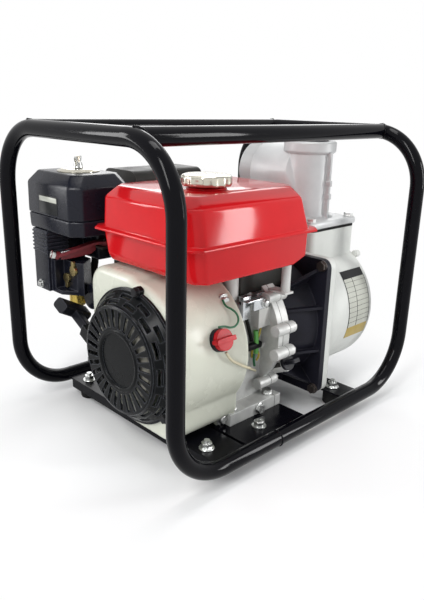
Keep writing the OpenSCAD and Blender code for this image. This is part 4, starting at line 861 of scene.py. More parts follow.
@dataclass
class FanShroud:
    """Pressed fan housing with its recoil starter."""

    bench: Workbench
    radius: float = 101.0
    front_x: float = -192.0
    back_x: float = -80.0
    opening: float = 86.0
    wall: float = 2.5
    edge: float = 11.0
    edge_steps: int = 6
    straight: float = 30.0
    inner_front: float = 16.0
    inner_edge: float = 1.0
    hem: Profile = ((0.0, 2.0), (0.0, -1.2), (-3.0, -1.4), (-4.4, 0.0))
    steps: int = 240
    search_steps: int = 200
    search_step: float = 0.25
    upper: RoundRect = RoundRect(-47.0, 67.0, 62.0, 244.0, 26.0)
    lower: RoundRect = RoundRect(-119.0, 34.0, -7.0, 117.0, 24.0)
    ear_places: tuple[Place, ...] = ((-96.0, -108.0, 38.0), (-93.0, -101.0, 209.0))
    ear: Block = Block((-9.0, 0.0, -9.0), (12.0, 8.0, 9.0), 3.0)
    bolt: BoltHead = BoltHead(5.4, 6.4, 9.6, height=7.0, bevel=1.0, flange=1.8)
    recoil_x: float = -219.0
    disc_r: float = 40.0
    ring: Profile = ((-4.5, 2.2), (-4.0, 0.2), (-2.2, -1.2), (0.4, -1.4), (2.4, -0.4), (3.0, 0.6),
                     (-4.5, 2.2))
    ring_steps: int = 96

    def build(self) -> None:
        """Builds the housing shell, its ears and the recoil cover's ring."""
        self._shell()
        self._ears()
        self._recoil_ring()

    def _reach(self, angle: float) -> float:
        """Finds how far the outline lies from the crankshaft.

        Args:
            angle: Angle about the crankshaft in radians.

        Returns:
            The distance in millimetres.
        """
        reach = self.radius
        for step in range(1, self.search_steps):
            r = self.radius + step * self.search_step
            y, z = CRANK_Y + math.cos(angle) * r, CRANK_Z + math.sin(angle) * r
            if self.upper.holds(y, z) or self.lower.holds(y, z):
                reach = r
        return reach

    def _shell(self) -> None:
        """Lofts the housing from its back edge round the front edge to the recoil opening and back inside."""
        angles = [math.tau * i / self.steps for i in range(self.steps)]
        reaches = [self._reach(a) for a in angles]
        back, front, edge, wall = self.back_x, self.front_x, self.edge, self.wall

        def section(x: float, radii: Sequence[float]) -> list[Point]:
            """Returns a closed line about the crankshaft from its radius at each angle."""
            return [(x, CRANK_Y + math.cos(a) * r, CRANK_Z + math.sin(a) * r) for a, r in zip(angles, radii)]

        def inset(steps: Sequence[Pair]) -> list[list[Point]]:
            """Returns the outline at each X, drawn in by the inset that goes with it."""
            return [section(x, [r - depth for r in reaches]) for x, depth in steps]

        turns = [math.pi / 2 * i / self.edge_steps for i in range(self.edge_steps + 1)]
        outside = [(back + x, depth) for x, depth in self.hem]
        outside.append((front + self.straight, 0.0))
        outside += [(front + edge * (1 - math.sin(a)), edge * (1 - math.cos(a))) for a in turns]
        inside = [(front + wall, edge + self.inner_edge), (front + self.inner_front, wall), (back, wall),
                  outside[0]]
        rim = [section(x, [self.opening] * self.steps) for x in (front, front + wall)]
        bm = bmesh.new()
        loft(bm, inset(outside) + rim + inset(inside), capped=False)
        self.bench.piece("fan_housing_shell", bm, CREAM_ENAMEL, "cream", stands_for=["fan_housing"],
                         crease=50.0)

    def _ears(self) -> None:
        """Bolts the housing's two near ears to the crankcase."""
        ears, bolts = bmesh.new(), bmesh.new()
        for place in self.ear_places:
            low, high = (tuple(Vector(place) + Vector(end)) for end in (self.ear.low, self.ear.high))
            replace(self.ear, low=low, high=high).add(ears)
            self.bolt.add(bolts, place, Axis.Y, -1)
        self.bench.piece("housing_ears", ears, CREAM_ENAMEL, "cream")
        self.bench.piece("ear_bolts", bolts, ZINC, "zinc")

    def _recoil_ring(self) -> None:
        """Lays the raised ring round the bare middle of the recoil cover."""
        bm = bmesh.new()
        profile = [(self.disc_r + out, height) for out, height in self.ring]
        turned(bm, profile, (self.recoil_x, CRANK_Y, CRANK_Z), Axis.X, self.ring_steps)
        self.bench.piece("recoil_ring", bm, RECOIL_PLASTIC, "black_plastic", crease=60.0)


@dataclass
class FuelTank:
    """Pressed fuel tank with a rolled seam, a red neck and a plated cap."""

    bench: Workbench
    floor: Outline = ((-173.5, -143.5), (12.0, 46.5), 14.0)
    hip: Outline = ((-179.5, -144.0), (39.0, 49.5), 16.0)
    wall: Outline = ((-184.5, -144.5), (42.0, 52.5), 18.0)
    lip: Outline = ((-192.5, -152.5), (50.0, 60.5), 16.0)
    shoulder: Outline = ((-187.5, -136.5), (38.0, 48.5), 22.0)
    top: Outline = ((-167.5, -111.5), (37.0, 40.5), 16.0)
    floor_z: float = 251.0
    hip_z: float = 260.0
    seam_z: float = 295.0
    shoulder_z: float = 340.0
    top_z: float = 352.5
    wall_ends: Pair = (-1.2, 3.2)
    lip_ends: Pair = (-0.8, 2.6)
    lip_zone: Pair = (-2.0, 4.0)
    fold_angle: float = 8.0
    fold_r: float = 3.4
    fold_steps: int = 4
    lip_angle: float = 60.0
    lip_r: float = 1.0
    lip_steps: int = 2
    neck: Profile = ((0.0, 355.0), (24.0, 355.0), (26.0, 354.6), (27.5, 351.0), (31.0, 349.6), (0.0, 349.6))
    neck_steps: int = 48
    cap_at: Pair = (-91.25, -63.5)
    cap_r: float = 33.5
    cap_z: float = 356.5
    cap_skirt: Profile = ((3.0, 0.2), (0.6, 0.4), (0.0, 1.4), (0.0, 5.0), (0.0, 9.0), (0.3, 11.5),
                          (1.8, 13.2), (5.0, 14.2), (12.0, 15.0))
    cap_crown: float = 15.5
    cap_steps: int = 160
    cap_flutes: int = 14
    flute_depth: float = 1.5
    flute_top: float = 12.5
    flute_fade: float = 2.5
    flute_reach: float = 4.0

    def build(self) -> None:
        """Builds the tank's shell and its cap."""
        self._shell()
        self._cap()

    def _shell(self) -> None:
        """Lofts the two pressed halves with the seam lip between them, and rounds every fold."""
        seam = self.seam_z
        (wall_low, wall_high), (lip_low, lip_high) = self.wall_ends, self.lip_ends
        levels = ((self.floor, self.floor_z), (self.hip, self.hip_z), (self.wall, seam + wall_low),
                  (self.lip, seam + lip_low), (self.lip, seam + lip_high), (self.wall, seam + wall_high),
                  (self.shoulder, self.shoulder_z), (self.top, self.top_z))
        bm = bmesh.new()
        loft(bm, [octagon(*outline, z) for outline, z in levels])
        bmesh.ops.recalc_face_normals(bm, faces=bm.faces)
        low, high = ((seam + end) * MM for end in self.lip_zone)

        def in_lip(edge: BMEdge) -> bool:
            """Returns whether an edge lies in the seam's lip."""
            return all(low < v.co.z < high for v in edge.verts)

        folds = [e for e in sharp_edges(bm, self.fold_angle) if not in_lip(e)]
        soften(bm, folds, self.fold_r, self.fold_steps)
        rims = [e for e in sharp_edges(bm, self.lip_angle) if in_lip(e)]
        soften(bm, rims, self.lip_r, self.lip_steps)
        turned(bm, self.neck, (*self.cap_at, 0.0), Axis.Z, self.neck_steps)
        self.bench.piece("tank_shell", bm, TANK_ENAMEL, "tank_red", stands_for=["fuel_tank"], crease=40.0)

    def _cap(self) -> None:
        """Turns the cap and presses shallow flutes into its skirt."""
        bm = bmesh.new()
        r, z = self.cap_r, self.cap_z
        skirt = [(r - inset, z + height) for inset, height in self.cap_skirt]
        profile = [(0.0, skirt[0][1]), *skirt, (0.0, z + self.cap_crown)]
        turned(bm, profile, (*self.cap_at, 0.0), Axis.Z, self.cap_steps)
        middle = place_of(*self.cap_at, 0.0)
        for v in bm.verts:
            out = Vector((v.co.x - middle.x, v.co.y - middle.y, 0.0))
            below = self.flute_top - (v.co.z / MM - z)
            if out.length > (r - self.flute_reach) * MM and below > 0.0:
                swing = 0.5 + 0.5 * math.cos(self.cap_flutes * math.atan2(out.y, out.x))
                depth = self.flute_depth * swing * min(1.0, below / self.flute_fade)
                v.co -= out.normalized() * depth * MM
        self.bench.piece("fuel_cap_shell", bm, CHROME, "chrome", body="fuel_cap_body",
                         stands_for=["fuel_cap"], crease=45.0)


@dataclass
class AirCleaner:
    """Air cleaner of two moulded halves over a ribbed intake duct."""

    bench: Workbench
    low: Pair = (-212.0, 64.0)
    high: Pair = (-113.0, 191.0)
    far_cut: float = 4.0
    cover: tuple[Place, ...] = (
        (0.2, 14.0, 300.5), (0.0, 14.0, 306.0), (0.4, 14.0, 345.0), (12.0, 12.0, 361.0))
    base: tuple[Place, ...] = ((1.6, 14.0, 278.0), (0.9, 14.0, 284.0), (0.4, 14.0, 300.0))
    edge: float = 2.4
    edge_angle: float = 24.0
    edge_steps: int = 4
    plate: Block = Block((-212.35, 105.0, 304.0), (-210.0, 155.0, 330.0), 0.3, 2)
    band: Block = Block((-212.6, 107.0, 321.0), (-211.0, 153.0, 328.0), 0.2, 2)
    screw_at: Place = (-212.0, 162.0, 196.0)
    screw: BoltHead = BoltHead(3.2, 4.4, 6.4, height=5.2, bevel=1.0, flange=1.6, steps=24)

    def build(self) -> None:
        """Builds the cover, the base, a bare plate on the cover's front and the duct's screw."""
        self._half("cleaner_cover_shell", "air_cleaner_cover", self.cover)
        self._half("cleaner_base_shell", "air_cleaner_base", self.base)
        self.bench.blocks("cleaner_plate", PLATE_DARK, "black_plastic", self.plate)
        self.bench.blocks("cleaner_plate_band", BLANK_PLATE, "chrome", self.band)
        bm = bmesh.new()
        self.screw.add(bm, self.screw_at, Axis.X, -1)
        self.bench.piece("duct_screw", bm, ZINC, "zinc")

    def _ring(self, inset: float, cut: float, z: float) -> list[Point]:
        """Returns the cleaner's outline at a height: three corners cut, the fourth only a little.

        Args:
            inset: Distance inside the full outline in millimetres.
            cut: Length cut off each side at a corner.
            z: Height in millimetres.

        Returns:
            Its eight corners.
        """
        low = (self.low[0] + inset, self.low[1] + inset)
        high = (self.high[0] - inset, self.high[1] - inset)
        ring = octagon(low, high, cut, z)
        ring[5] = (low[0] + self.far_cut, high[1], z)
        ring[6] = (low[0], high[1] - self.far_cut, z)
        return ring

    def _half(self, name: str, node: str, steps: Sequence[Place]) -> None:
        """Lofts one moulded half.

        Args:
            name: Name of the piece.
            node: CAD node that it stands for.
            steps: Inset, corner cut and height of each section in millimetres.
        """
        bm = bmesh.new()
        loft(bm, [self._ring(*step) for step in steps])
        bmesh.ops.recalc_face_normals(bm, faces=bm.faces)
        soften(bm, sharp_edges(bm, self.edge_angle), self.edge, self.edge_steps)
        self.bench.piece(name, bm, CLEANER_PLASTIC, "black_plastic", stands_for=[node], crease=40.0)


@dataclass
class PumpEnd:
    """Pump casing, its bare plate and the smooth discharge elbow."""

    bench: Workbench
    outlet_x: float = 157.0
    drum_r: float = 105.0
    drum_z: float = 141.0
    flange_half: float = 58.0
    flange_z: Pair = (277.0, 288.0)
    flange_edge: float = 3.0
    riser_r: float = 36.5
    riser_foot: Profile = ((6.0, 0.0), (1.5, 3.0), (0.0, 7.0))
    collar_z: Pair = (389.0, 405.0)
    collar_foot: Profile = ((0.0, -3.0), (3.4, -0.5), (4.5, 1.2))
    collar_rim: Profile = ((4.5, -2.0), (2.5, -0.2))
    plug_seat: Profile = ((24.0, 0.0), (22.2, -2.0))
    rib_z: float = 287.0
    rib: Pair = (2.4, 7.0)
    knob: Pair = (2.9, 9.0)
    knob_z: Pair = (318.0, 338.0)
    knob_height: float = 9.0
    rib_root: float = 4.0
    rib_edge: float = 1.2
    bore_r: float = 33.0
    bore_foot: float = 0.2
    bore_dome: Profile = ((0.0, -69.0), (18.0, -64.0), (28.0, -55.0))
    bore_ends: Pair = (-42.0, 24.0)
    outlet_z: float = 354.0
    reach_y: float = 74.0
    thread_y: float = 47.0
    port_r: float = 44.0
    mouth_edge: Pair = (2.0, 1.6)
    mouth_round: float = 0.4
    thread: Profile = ((0.0, 0.0), (0.0, -0.9), (-1.5, -1.6), (-1.5, -2.2))
    thread_pitch: float = 2.6
    thread_start: float = 1.0
    thread_end: float = 3.0
    branch_r: float = 45.4
    branch_back: Pair = (10.0, 46.0)
    branch_front: Pair = (-5.0, 47.0)
    branch_foot: Pair = (293.0, 301.0)
    branch_inset: float = 0.6
    round_steps: int = 96
    plate_x: Pair = (149.0, 205.0)
    plate_parts: tuple[tuple[str, Finish, str, float, float], ...] = (
        ("casing_plate_head", PLATE_DARK, "black_plastic", 139.5, 147.0),
        ("casing_plate", BLANK_PLATE, "chrome", 147.0, 190.0),
        ("casing_plate_foot", PLATE_AMBER, "brass", 190.0, 200.5))
    plate_back: float = 0.12
    plate_proud: float = 0.55
    plate_step: float = 3.0
    rows: int = 9
    row_first: float = 150.0
    row_step: float = 4.4
    row_width: float = 0.25
    row_proud: float = 0.75
    column_at: float = 22.0
    column_width: float = 0.7
    column_span: Pair = (147.0, 190.0)
    column_proud: float = 0.8
    lug_x: float = 214.0
    lug_angle: float = 126.0
    lug: Profile = ((0.0, 0.0), (5.0, 0.4), (6.0, 1.6), (6.0, 9.4), (5.0, 10.6), (0.0, 11.0))

    def build(self) -> None:
        """Builds the elbow, the plate and the drum's lug."""
        self._elbow()
        self._plate()
        self._lug()

    def _elbow(self) -> None:
        """Joins flange, riser, collar and side branch into one casting with a threaded mouth."""
        bm = bmesh.new()
        x, half = self.outlet_x, self.flange_half
        low, high = self.flange_z
        Block((x - half, CRANK_Y - half, low), (x + half, CRANK_Y + half, high), self.flange_edge).add(bm)
        self._riser(bm)
        self._branch(bm)
        self._rib(bm)
        self._mouth(bm)
        self.bench.piece("elbow_casting", bm, ELBOW_PAINT, "elbow_silver", stands_for=["discharge_elbow"],
                         crease=32.0)

    def _riser(self, bm: BMesh) -> None:
        """Turns the upright tube with the collar round its plug.

        Args:
            bm: Mesh that takes the tube.
        """
        low, top = self.collar_z
        under, over = self.flange_z
        inner = (self.bore_r, under + self.bore_foot)
        profile = [inner]
        for r, z, steps in ((self.riser_r, over, self.riser_foot), (self.riser_r, low, self.collar_foot),
                            (self.riser_r, top, self.collar_rim), (0.0, top, self.plug_seat)):
            profile += [(r + out, z + up) for out, up in steps]
        turned(bm, [*profile, inner], (self.outlet_x, CRANK_Y, 0.0), Axis.Z, self.round_steps)

    def _branch(self, bm: BMesh) -> None:
        """Stretches a hull from the outlet's ring to the foot of the riser, and opens its mouth.

        Args:
            bm: Mesh that takes the branch.
        """
        upright = Matrix.Rotation(math.pi / 2, 4, "X")
        (back, back_r), (front, front_r) = self.branch_back, self.branch_front
        rings = ((CRANK_Y + back, back_r), (self.thread_y + front, front_r), (self.thread_y, self.branch_r))
        places = [(Matrix.Translation(place_of(self.outlet_x, y, self.outlet_z)) @ upright, r)
                  for y, r in rings]
        places += [(Matrix.Translation(place_of(self.outlet_x, CRANK_Y, z)), self.riser_r - self.branch_inset)
                   for z in self.branch_foot]
        made = []
        for matrix, r in places:
            circle = bmesh.ops.create_circle(bm, segments=self.round_steps, radius=r * MM, matrix=matrix)
            made += circle["verts"]
        hull = bmesh.ops.convex_hull(bm, input=made)
        spare = [g for g in hull["geom_interior"] + hull["geom_unused"] if isinstance(g, BMVert)]
        bmesh.ops.delete(bm, geom=spare, context="VERTS")
        mouth = [f for f in bm.faces if all(abs(v.co.y - self.thread_y * MM) < MERGE for v in f.verts)]
        bmesh.ops.delete(bm, geom=mouth, context="FACES")

    def _rib(self, bm: BMesh) -> None:
        """Sets a rib with two knobs on the riser's near side.

        Args:
            bm: Mesh that takes the rib.
        """
        x, y = self.outlet_x, CRANK_Y - self.riser_r
        spans = [(self.rib, self.rib_z, self.collar_z[0])]
        spans += [(self.knob, z, z + self.knob_height) for z in self.knob_z]
        for (half, out), low, high in spans:
            Block((x - half, y - out, low), (x + half, y + self.rib_root, high), self.rib_edge).add(bm)

    def _mouth(self, bm: BMesh) -> None:
        """Turns the bore with its thread outside.

        Args:
            bm: Mesh that takes the mouth.
        """
        length = self.reach_y - self.thread_y
        inner, outer = self.mouth_edge
        profile = [*self.bore_dome, *((self.bore_r, y) for y in self.bore_ends),
                   (self.bore_r + inner, length - self.mouth_round), (self.port_r - outer, length)]
        crest = length - self.thread_start
        while crest > self.thread_end:
            profile += [(self.port_r + out, crest + along) for out, along in self.thread]
            crest -= self.thread_pitch
        profile += [(profile[-1][0], -self.thread_start), (self.branch_r, 0.0)]
        turned(bm, profile, (self.outlet_x, self.thread_y, self.outlet_z), Axis.Y, self.round_steps)

    def _plate(self) -> None:
        """Bends a bare plate onto the drum's near side: a dark head, empty ruled rows and an amber foot."""
        for name, finish, slot, first, last in self.plate_parts:
            bm = bmesh.new()
            self._strip(bm, self.plate_x, self.plate_proud, first, last)
            self.bench.piece(name, bm, finish, slot, crease=30.0)
        bm = bmesh.new()
        for row in range(self.rows):
            first = self.row_first + self.row_step * row
            self._strip(bm, self.plate_x, self.row_proud, first, first + self.row_width)
        start, end = self.plate_x
        for x in (start, start + self.column_at, end - self.column_width):
            self._strip(bm, (x, x + self.column_width), self.column_proud, *self.column_span)
        self.bench.piece("casing_plate_rows", bm, PLATE_DARK, "black_plastic", crease=30.0)

    def _strip(self, bm: BMesh, span: Pair, proud: float, first: float, last: float) -> None:
        """Bends one strip round the drum.

        Args:
            bm: Mesh that takes the strip.
            span: Where it lies along the drum, in millimetres.
            proud: How far its face stands off the drum, in millimetres.
            first: Angle about the drum where it starts, in degrees.
            last: Angle where it ends.
        """
        count = max(2, int((last - first) / self.plate_step))
        angles = [math.radians(first + (last - first) * i / count) for i in range(count + 1)]

        def edge(x: float, r: float) -> list[Point]:
            """Returns a bent edge of the strip."""
            return [(x, CRANK_Y + math.cos(a) * r, self.drum_z + math.sin(a) * r) for a in angles]

        low, high = self.drum_r + self.plate_back, self.drum_r + proud
        loft(bm, [[*edge(x, low), *reversed(edge(x, high))] for x in span])

    def _lug(self) -> None:
        """Sets a small cast lug on the drum's outer rim."""
        a = math.radians(self.lug_angle)
        at = (self.lug_x, CRANK_Y + math.cos(a) * self.drum_r, self.drum_z + math.sin(a) * self.drum_r)
        bm = bmesh.new()
        turned(bm, self.lug, at, Axis.X)
        self.bench.piece("drum_lug", bm, CASING_PAINT, "casing_white")


@dataclass(frozen=True)
class Lead:
    """Lead, sleeve or hose, with its route and radius in millimetres."""

    name: str
    radius: float
    finish: Finish
    route: tuple[Place, ...]
    slot: str = "wire"
    stands_for: tuple[str, ...] = ()

    def run(self, bench: Workbench) -> None:
        """Runs the lead along its route."""
        bench.tube(self.name, self.route, self.radius, self.finish, self.slot, stands_for=self.stands_for)


@dataclass
class Controls:
    """Leads, brackets, the throttle lever's grip and the starter rope."""

    bench: Workbench
    leads: tuple[Lead, ...] = (
        Lead("green_wire", 1.4, WIRE_GREEN, (
            (-99.0, -106.9, 212.7), (-100.0, -114.2, 206.4), (-96.0, -119.8, 203.0), (-92.7, -125.8, 198.0),
            (-93.4, -131.0, 191.5), (-100.0, -134.2, 185.7), (-110.6, -134.8, 185.0),
            (-120.6, -132.8, 188.2), (-130.0, -131.6, 189.2)), stands_for=("wiring",)),
        Lead("black_lead", 2.6, WIRE_BLACK, (
            (-55.0, -97.9, 199.0), (-52.0, -99.4, 190.0), (-48.0, -99.6, 180.0), (-42.0, -99.6, 168.0),
            (-34.5, -98.6, 150.0), (-29.0, -97.9, 135.0))),
        Lead("yellow_lead", 1.6, WIRE_YELLOW, (
            (-17.0, -104.0, 156.2), (-18.0, -103.5, 147.0), (-20.0, -102.0, 138.0), (-22.0, -100.0, 129.0),
            (-25.8, -98.0, 120.0), (-25.0, -97.2, 107.0))),
        Lead("switch_sleeve", 1.8, SLEEVE_CREAM, (
            (-126.8, -143.4, 157.5), (-123.6, -143.8, 152.0), (-115.0, -142.8, 143.0),
            (-104.2, -141.7, 135.6), (-95.0, -141.2, 130.0), (-84.6, -140.2, 124.0), (-78.0, -139.6, 120.4),
            (-68.0, -130.0, 115.0), (-55.0, -121.0, 106.7), (-34.0, -108.0, 94.3), (-17.0, -97.4, 84.2))),
        Lead("green_sleeve", 3.6, SLEEVE_GREEN, (
            (-24.5, -101.5, 150.0), (-23.6, -102.1, 140.0), (-22.6, -102.1, 126.0), (-22.2, -101.5, 115.0))),
        Lead("yellow_tail", 1.7, WIRE_YELLOW, (
            (-18.0, -101.5, 116.0), (-17.0, -102.5, 110.0), (-19.5, -101.0, 102.5))),
        Lead("green_tail", 1.9, WIRE_GREEN, (
            (-25.0, -101.5, 114.0), (-27.0, -102.5, 107.0), (-23.5, -101.0, 95.0))),
        Lead("earth_lead", 1.2, WIRE_YELLOW, (
            (-48.7, -98.0, 172.0), (-52.0, -99.4, 163.0), (-53.7, -98.4, 151.0), (-50.0, -97.4, 140.0))),
    )
    tape: Block = Block((-43.0, -106.1, 122.0), (-12.0, -96.9, 132.5), 4.0, 4)
    clamp: Block = Block((-13.0, -103.5, 119.5), (4.0, -95.5, 127.0), 1.0)
    brackets: tuple[Block, ...] = (
        Block((-56.0, -104.0, 172.0), (-40.5, -95.1, 206.0), 0.8),
        Block((-55.9, -113.5, 199.2), (-14.0, -95.2, 202.0), 0.8),
        Block((-44.0, -113.6, 186.0), (-14.1, -111.2, 201.9), 0.8),
        Block((-22.0, -99.6, 184.0), (2.0, -95.0, 204.0), 0.8))
    screw_places: tuple[Place, ...] = ((-12.0, -99.6, 195.0), (-22.0, -113.5, 194.0))
    screw: BoltHead = BoltHead(3.6, 4.8, 6.8, height=5.6, bevel=0.8, flange=1.6, steps=24)
    neck: Block = Block((-149.0, 104.0, 232.0), (-117.0, 150.0, 279.0), 4.0)
    baffle: Block = Block((-187.0, 144.0, 222.0), (-146.0, 148.0, 279.0), 1.5)
    hose: Lead = Lead("breather_hose", 5.6, RUBBER, (
        (-139.0, 127.0, 240.0), (-142.0, 125.0, 226.0), (-147.0, 121.0, 212.0), (-148.0, 118.5, 196.0),
        (-141.0, 114.0, 185.0), (-128.0, 106.0, 183.0)), slot="rubber_black")
    # Dark block under the tank's near side: partly black parts, partly painted shade under the tank.
    dark_parts_and_shade: Block = Block((-50.0, -92.0, 204.0), (40.0, -86.0, 236.0), 2.0)
    lever_body: str = "throttle_lever_body"
    lever_pivot: Place = (-146.0, 90.7, 258.3)
    lever_turn: float = 158.0
    lever_end: Place = (68.0, 0.0, -12.0)
    lever_steps: Profile = ((14.0, 0.55), (22.0, 1.0), (46.0, 1.0), (64.0, 0.8))
    lever_parts: tuple[tuple[str, Finish, float, float, float], ...] = (
        ("throttle_grip", LEVER_RED, 2.6, -8.5, 3.4), ("throttle_spine", STEEL, 3.6, 3.2, 4.8))
    lever_edge: float = 0.7
    lever_angle: float = 40.0
    tip: Profile = ((0.0, 10.6), (3.6, 10.6), (5.2, 9.6), (5.8, 8.0), (5.8, 3.6), (0.0, 3.6))
    tip_lean: float = 74.0
    rope_r: float = 1.7
    rope_sides: int = 16
    rope_steps: int = 48
    rope_guide: Place = (-204.5, 55.0, 153.0)
    rope_lean: float = 27.0
    rope_ends: Pair = (-12.0, 6.0)
    rope_pull: Place = (-0.90, 0.42, 0.12)

    def build(self) -> None:
        """Builds the leads and what holds them, then the lever's dressing and the rope."""
        for lead in self.leads:
            lead.run(self.bench)
        self.bench.blocks("lead_tape", WIRE_BLACK, "rubber_black", self.tape)
        self.bench.blocks("lead_clamp", CAST_SILVER, "cast_silver", self.clamp)
        self._brackets()
        self._under_tank()
        self._lever()
        self._rope()

    def _brackets(self) -> None:
        """Sets the plated brackets and their screws on the crankcase's near wall."""
        self.bench.blocks("lead_brackets", PALE_BRACKET, "zinc", *self.brackets)
        bm = bmesh.new()
        for place in self.screw_places:
            self.screw.add(bm, place, Axis.Y, -1)
        self.bench.piece("bracket_screws", bm, ZINC, "zinc")

    def _under_tank(self) -> None:
        """Fills the space under the cleaner and the tank: a dark neck, a hose, and a dark block that stands
        for black parts there and for painted shade under the tank.
        """
        self.bench.blocks("cleaner_neck", CLEANER_PLASTIC, "black_plastic", self.neck, self.baffle)
        self.hose.run(self.bench)
        # Dark block: black parts and painted shade under the tank.
        self.bench.blocks("dark_parts_and_shade_sheet", MUFFLER_BLACK, "black_plastic", self.dark_parts_and_shade)

    def _lever(self) -> None:
        """Dresses the throttle lever with a plated tip, a red grip and a steel spine."""
        turn = Matrix.Rotation(math.radians(self.lever_turn), 4, "Z")
        pivot = Matrix.Translation(place_of(*self.lever_pivot)) @ turn
        lean = Matrix.Rotation(math.radians(self.tip_lean), 4, "Y")
        bm = bmesh.new()
        turned(bm, self.tip, (0.0, 0.0, 0.0), Axis.Z)
        bm.transform(pivot @ Matrix.Translation(place_of(*self.lever_end)) @ lean)
        self.bench.piece("throttle_tip", bm, ZINC, "zinc", body=self.lever_body)
        reach, _, fall = self.lever_end
        for name, finish, half, low, high in self.lever_parts:
            sections = []
            for x, share in self.lever_steps:
                drop = fall * x / reach
                y, foot, top = half * share, drop + low * share, drop + high
                sections.append([(x, -y, foot), (x, y, foot), (x, y, top), (x, -y, top)])
            bm = bmesh.new()
            loft(bm, sections)
            bmesh.ops.recalc_face_normals(bm, faces=bm.faces)
            soften(bm, sharp_edges(bm, self.lever_angle), self.lever_edge)
            bm.transform(pivot)
            self.bench.piece(name, bm, finish, "steel_dark", body=self.lever_body)

    def _rope(self) -> None:
        """Runs the starter rope from its guide into the handle.

        The rope's sections face the way it is pulled.
        """
        lean = math.radians(self.rope_lean)
        along = Vector((0.0, math.cos(lean), math.sin(lean)))
        start, end = (Vector(self.rope_guide) + along * way for way in self.rope_ends)
        pull = Vector(self.rope_pull).normalized()
        across = pull.orthogonal().normalized()
        other = pull.cross(across)
        turns = [math.tau * k / self.rope_sides for k in range(self.rope_sides)]
        rim = [(across * math.cos(a) + other * math.sin(a)) * self.rope_r for a in turns]
        middles = [start + (end - start) * (i / self.rope_steps) for i in range(self.rope_steps + 1)]
        bm = bmesh.new()
        loft(bm, [[tuple(middle + out) for out in rim] for middle in middles])
        rope = self.bench.piece("starter_rope", bm, ROPE_WHITE, "reel_plastic", body=None)
        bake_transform(rope)


@dataclass(frozen=True)
class Lamp:
    """Soft box lamp, in metres and watts."""

    name: str
    place: Place
    target: Place
    size: Pair
    power: float

    def hang(self) -> None:
        """Hangs the lamp so that it faces its target."""
        data = bpy.data.lights.new(self.name, "AREA")
        data.shape = "RECTANGLE"
        data.size, data.size_y = self.size
        data.energy = self.power
        lamp = bpy.data.objects.new(self.name, data)
        lamp.location = self.place
        way = Vector(self.target) - Vector(self.place)
        lamp.rotation_euler = way.to_track_quat("-Z", "Y").to_euler()
        bpy.context.scene.collection.objects.link(lamp)


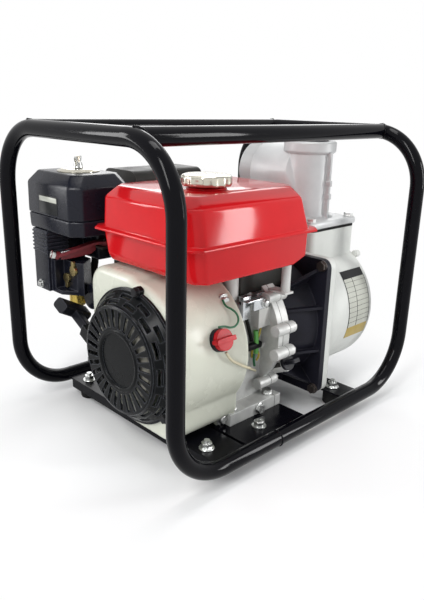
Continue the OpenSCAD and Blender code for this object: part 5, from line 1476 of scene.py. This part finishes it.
@dataclass
class Studio:
    """Pale floor, soft light and the camera at the photograph's angle."""

    place: Place = (-0.64146, -0.64357, 0.45763)
    yaw: float = 45.743
    pitch: float = -17.830
    roll: float = 1.379
    focal_px: float = 612.15
    frame_h_px: float = 600.0
    sensor: float = 36.0
    near_clip: float = 0.01
    floor_half: float = 6.0
    floor_tone: float = 0.88
    floor_rough: float = 0.9
    floor_specular: float = 0.1
    floor_fade: Pair = (0.22, 0.52)
    sky_colour: Colour = (0.95, 0.97, 1.0)
    sky_strength: float = 0.42
    lamps: tuple[Lamp, ...] = (
        Lamp("key", (-1.6, -0.6, 1.5), (0.0, -0.05, 0.2), (0.32, 1.2), 24.0),
        Lamp("side", (1.05, -1.35, 0.62), (0.05, 0.0, 0.25), (0.26, 0.9), 13.0),
        Lamp("left", (-1.15, 1.2, 0.72), (-0.1, 0.0, 0.28), (0.22, 0.9), 8.0),
        Lamp("back", (1.15, 1.2, 0.95), (0.0, 0.0, 0.3), (1.3, 0.7), 7.5),
        Lamp("top", (0.0, 0.0, 2.2), (0.0, 0.0, 0.0), (1.4, 0.4), 13.0))

    def build(self) -> None:
        """Sets up the camera, the floor, the world and the lamps."""
        self._camera()
        self._floor()
        self._world()
        for lamp in self.lamps:
            lamp.hang()

    def _camera(self) -> None:
        """Places the camera from its solved yaw, pitch, roll and focal length."""
        yaw, pitch, roll = (math.radians(a) for a in (self.yaw, self.pitch, self.roll))
        ahead = Vector((math.cos(pitch) * math.cos(yaw), math.cos(pitch) * math.sin(yaw), math.sin(pitch)))
        right = Vector((math.sin(yaw), -math.cos(yaw), 0.0))
        up = right.cross(ahead)
        across = right * math.cos(roll) + up * math.sin(roll)
        above = up * math.cos(roll) - right * math.sin(roll)
        data = bpy.data.cameras.new("camera")
        data.sensor_width = self.sensor
        data.lens = self.focal_px * self.sensor / self.frame_h_px
        data.clip_start = self.near_clip
        camera = bpy.data.objects.new("camera", data)
        turn = Matrix((across, above, -ahead)).transposed().to_4x4()
        camera.matrix_world = Matrix.Translation(Vector(self.place)) @ turn
        bpy.context.scene.collection.objects.link(camera)
        bpy.context.scene.camera = camera

    def _floor(self) -> None:
        """Lays a wide pale floor under the feet."""
        bm = bmesh.new()
        bmesh.ops.create_grid(bm, x_segments=1, y_segments=1, size=self.floor_half)
        mesh = bpy.data.meshes.new("floor")
        bm.to_mesh(mesh)
        bm.free()
        floor = bpy.data.objects.new("floor", mesh)
        bpy.context.scene.collection.objects.link(floor)
        mesh.materials.append(self._floor_material())

    def _floor_material(self) -> Material:
        """Makes the floor's finish.

        Returns:
            The material: matt near the object, plain white further off where it is looked at.
        """
        material = bpy.data.materials.new("pale_floor")
        material.use_nodes = True
        tree = material.node_tree
        shader = tree.nodes["Principled BSDF"]
        shader.inputs["Base Color"].default_value = (*[self.floor_tone] * 3, 1.0)
        shader.inputs["Roughness"].default_value = self.floor_rough
        shader.inputs["Specular IOR Level"].default_value = self.floor_specular
        start, end = self.floor_fade
        white = add_node(tree, "Emission")
        coords = add_node(tree, "TexCoord")
        far = add_node(tree, "VectorMath", operation="LENGTH")
        fade = add_node(tree, "MapRange", {"From Min": start, "From Max": end},
                        interpolation_type="SMOOTHSTEP")
        share = add_node(tree, "Math", operation="MULTIPLY")
        mix = add_node(tree, "MixShader")
        connect(tree,
                (coords.outputs["Object"], far.inputs[0]),
                (far.outputs["Value"], fade.inputs["Value"]),
                (looked_at(tree), share.inputs[0]),
                (fade.outputs["Result"], share.inputs[1]),
                (share.outputs[0], mix.inputs["Fac"]),
                (shader.outputs["BSDF"], mix.inputs[1]),
                (white.outputs["Emission"], mix.inputs[2]),
                (mix.outputs["Shader"], tree.nodes["Material Output"].inputs["Surface"]))
        return material

    def _world(self) -> None:
        """Fills the surroundings: soft light on the object, white where the camera or a mirror looks."""
        world = bpy.data.worlds.new("studio")
        bpy.context.scene.world = world
        world.use_nodes = True
        tree = world.node_tree
        soft = tree.nodes["Background"]
        soft.inputs["Color"].default_value = (*self.sky_colour, 1.0)
        soft.inputs["Strength"].default_value = self.sky_strength
        white = add_node(tree, "Background", {"Color": (1.0, 1.0, 1.0, 1.0)})
        mix = add_node(tree, "MixShader")
        connect(tree,
                (looked_at(tree), mix.inputs["Fac"]),
                (soft.outputs["Background"], mix.inputs[1]),
                (white.outputs["Background"], mix.inputs[2]),
                (mix.outputs["Shader"], tree.nodes["World Output"].inputs["Surface"]))


def main() -> None:
    """Builds the scene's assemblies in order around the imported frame."""
    logging.basicConfig(level=logging.INFO, format="%(name)s: %(message)s")
    for default in list(bpy.data.objects):
        bpy.data.objects.remove(default)
    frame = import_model()
    bpy.context.scene.view_settings.view_transform = "Standard"
    bench = Workbench(frame, FinishBook())
    bench.dress_nodes()
    Studio().build()
    for assembly in (RollFrame, FanShroud, FuelTank, AirCleaner, PumpEnd, Controls):
        assembly(bench).build()


if __name__ == "__main__":
    main()
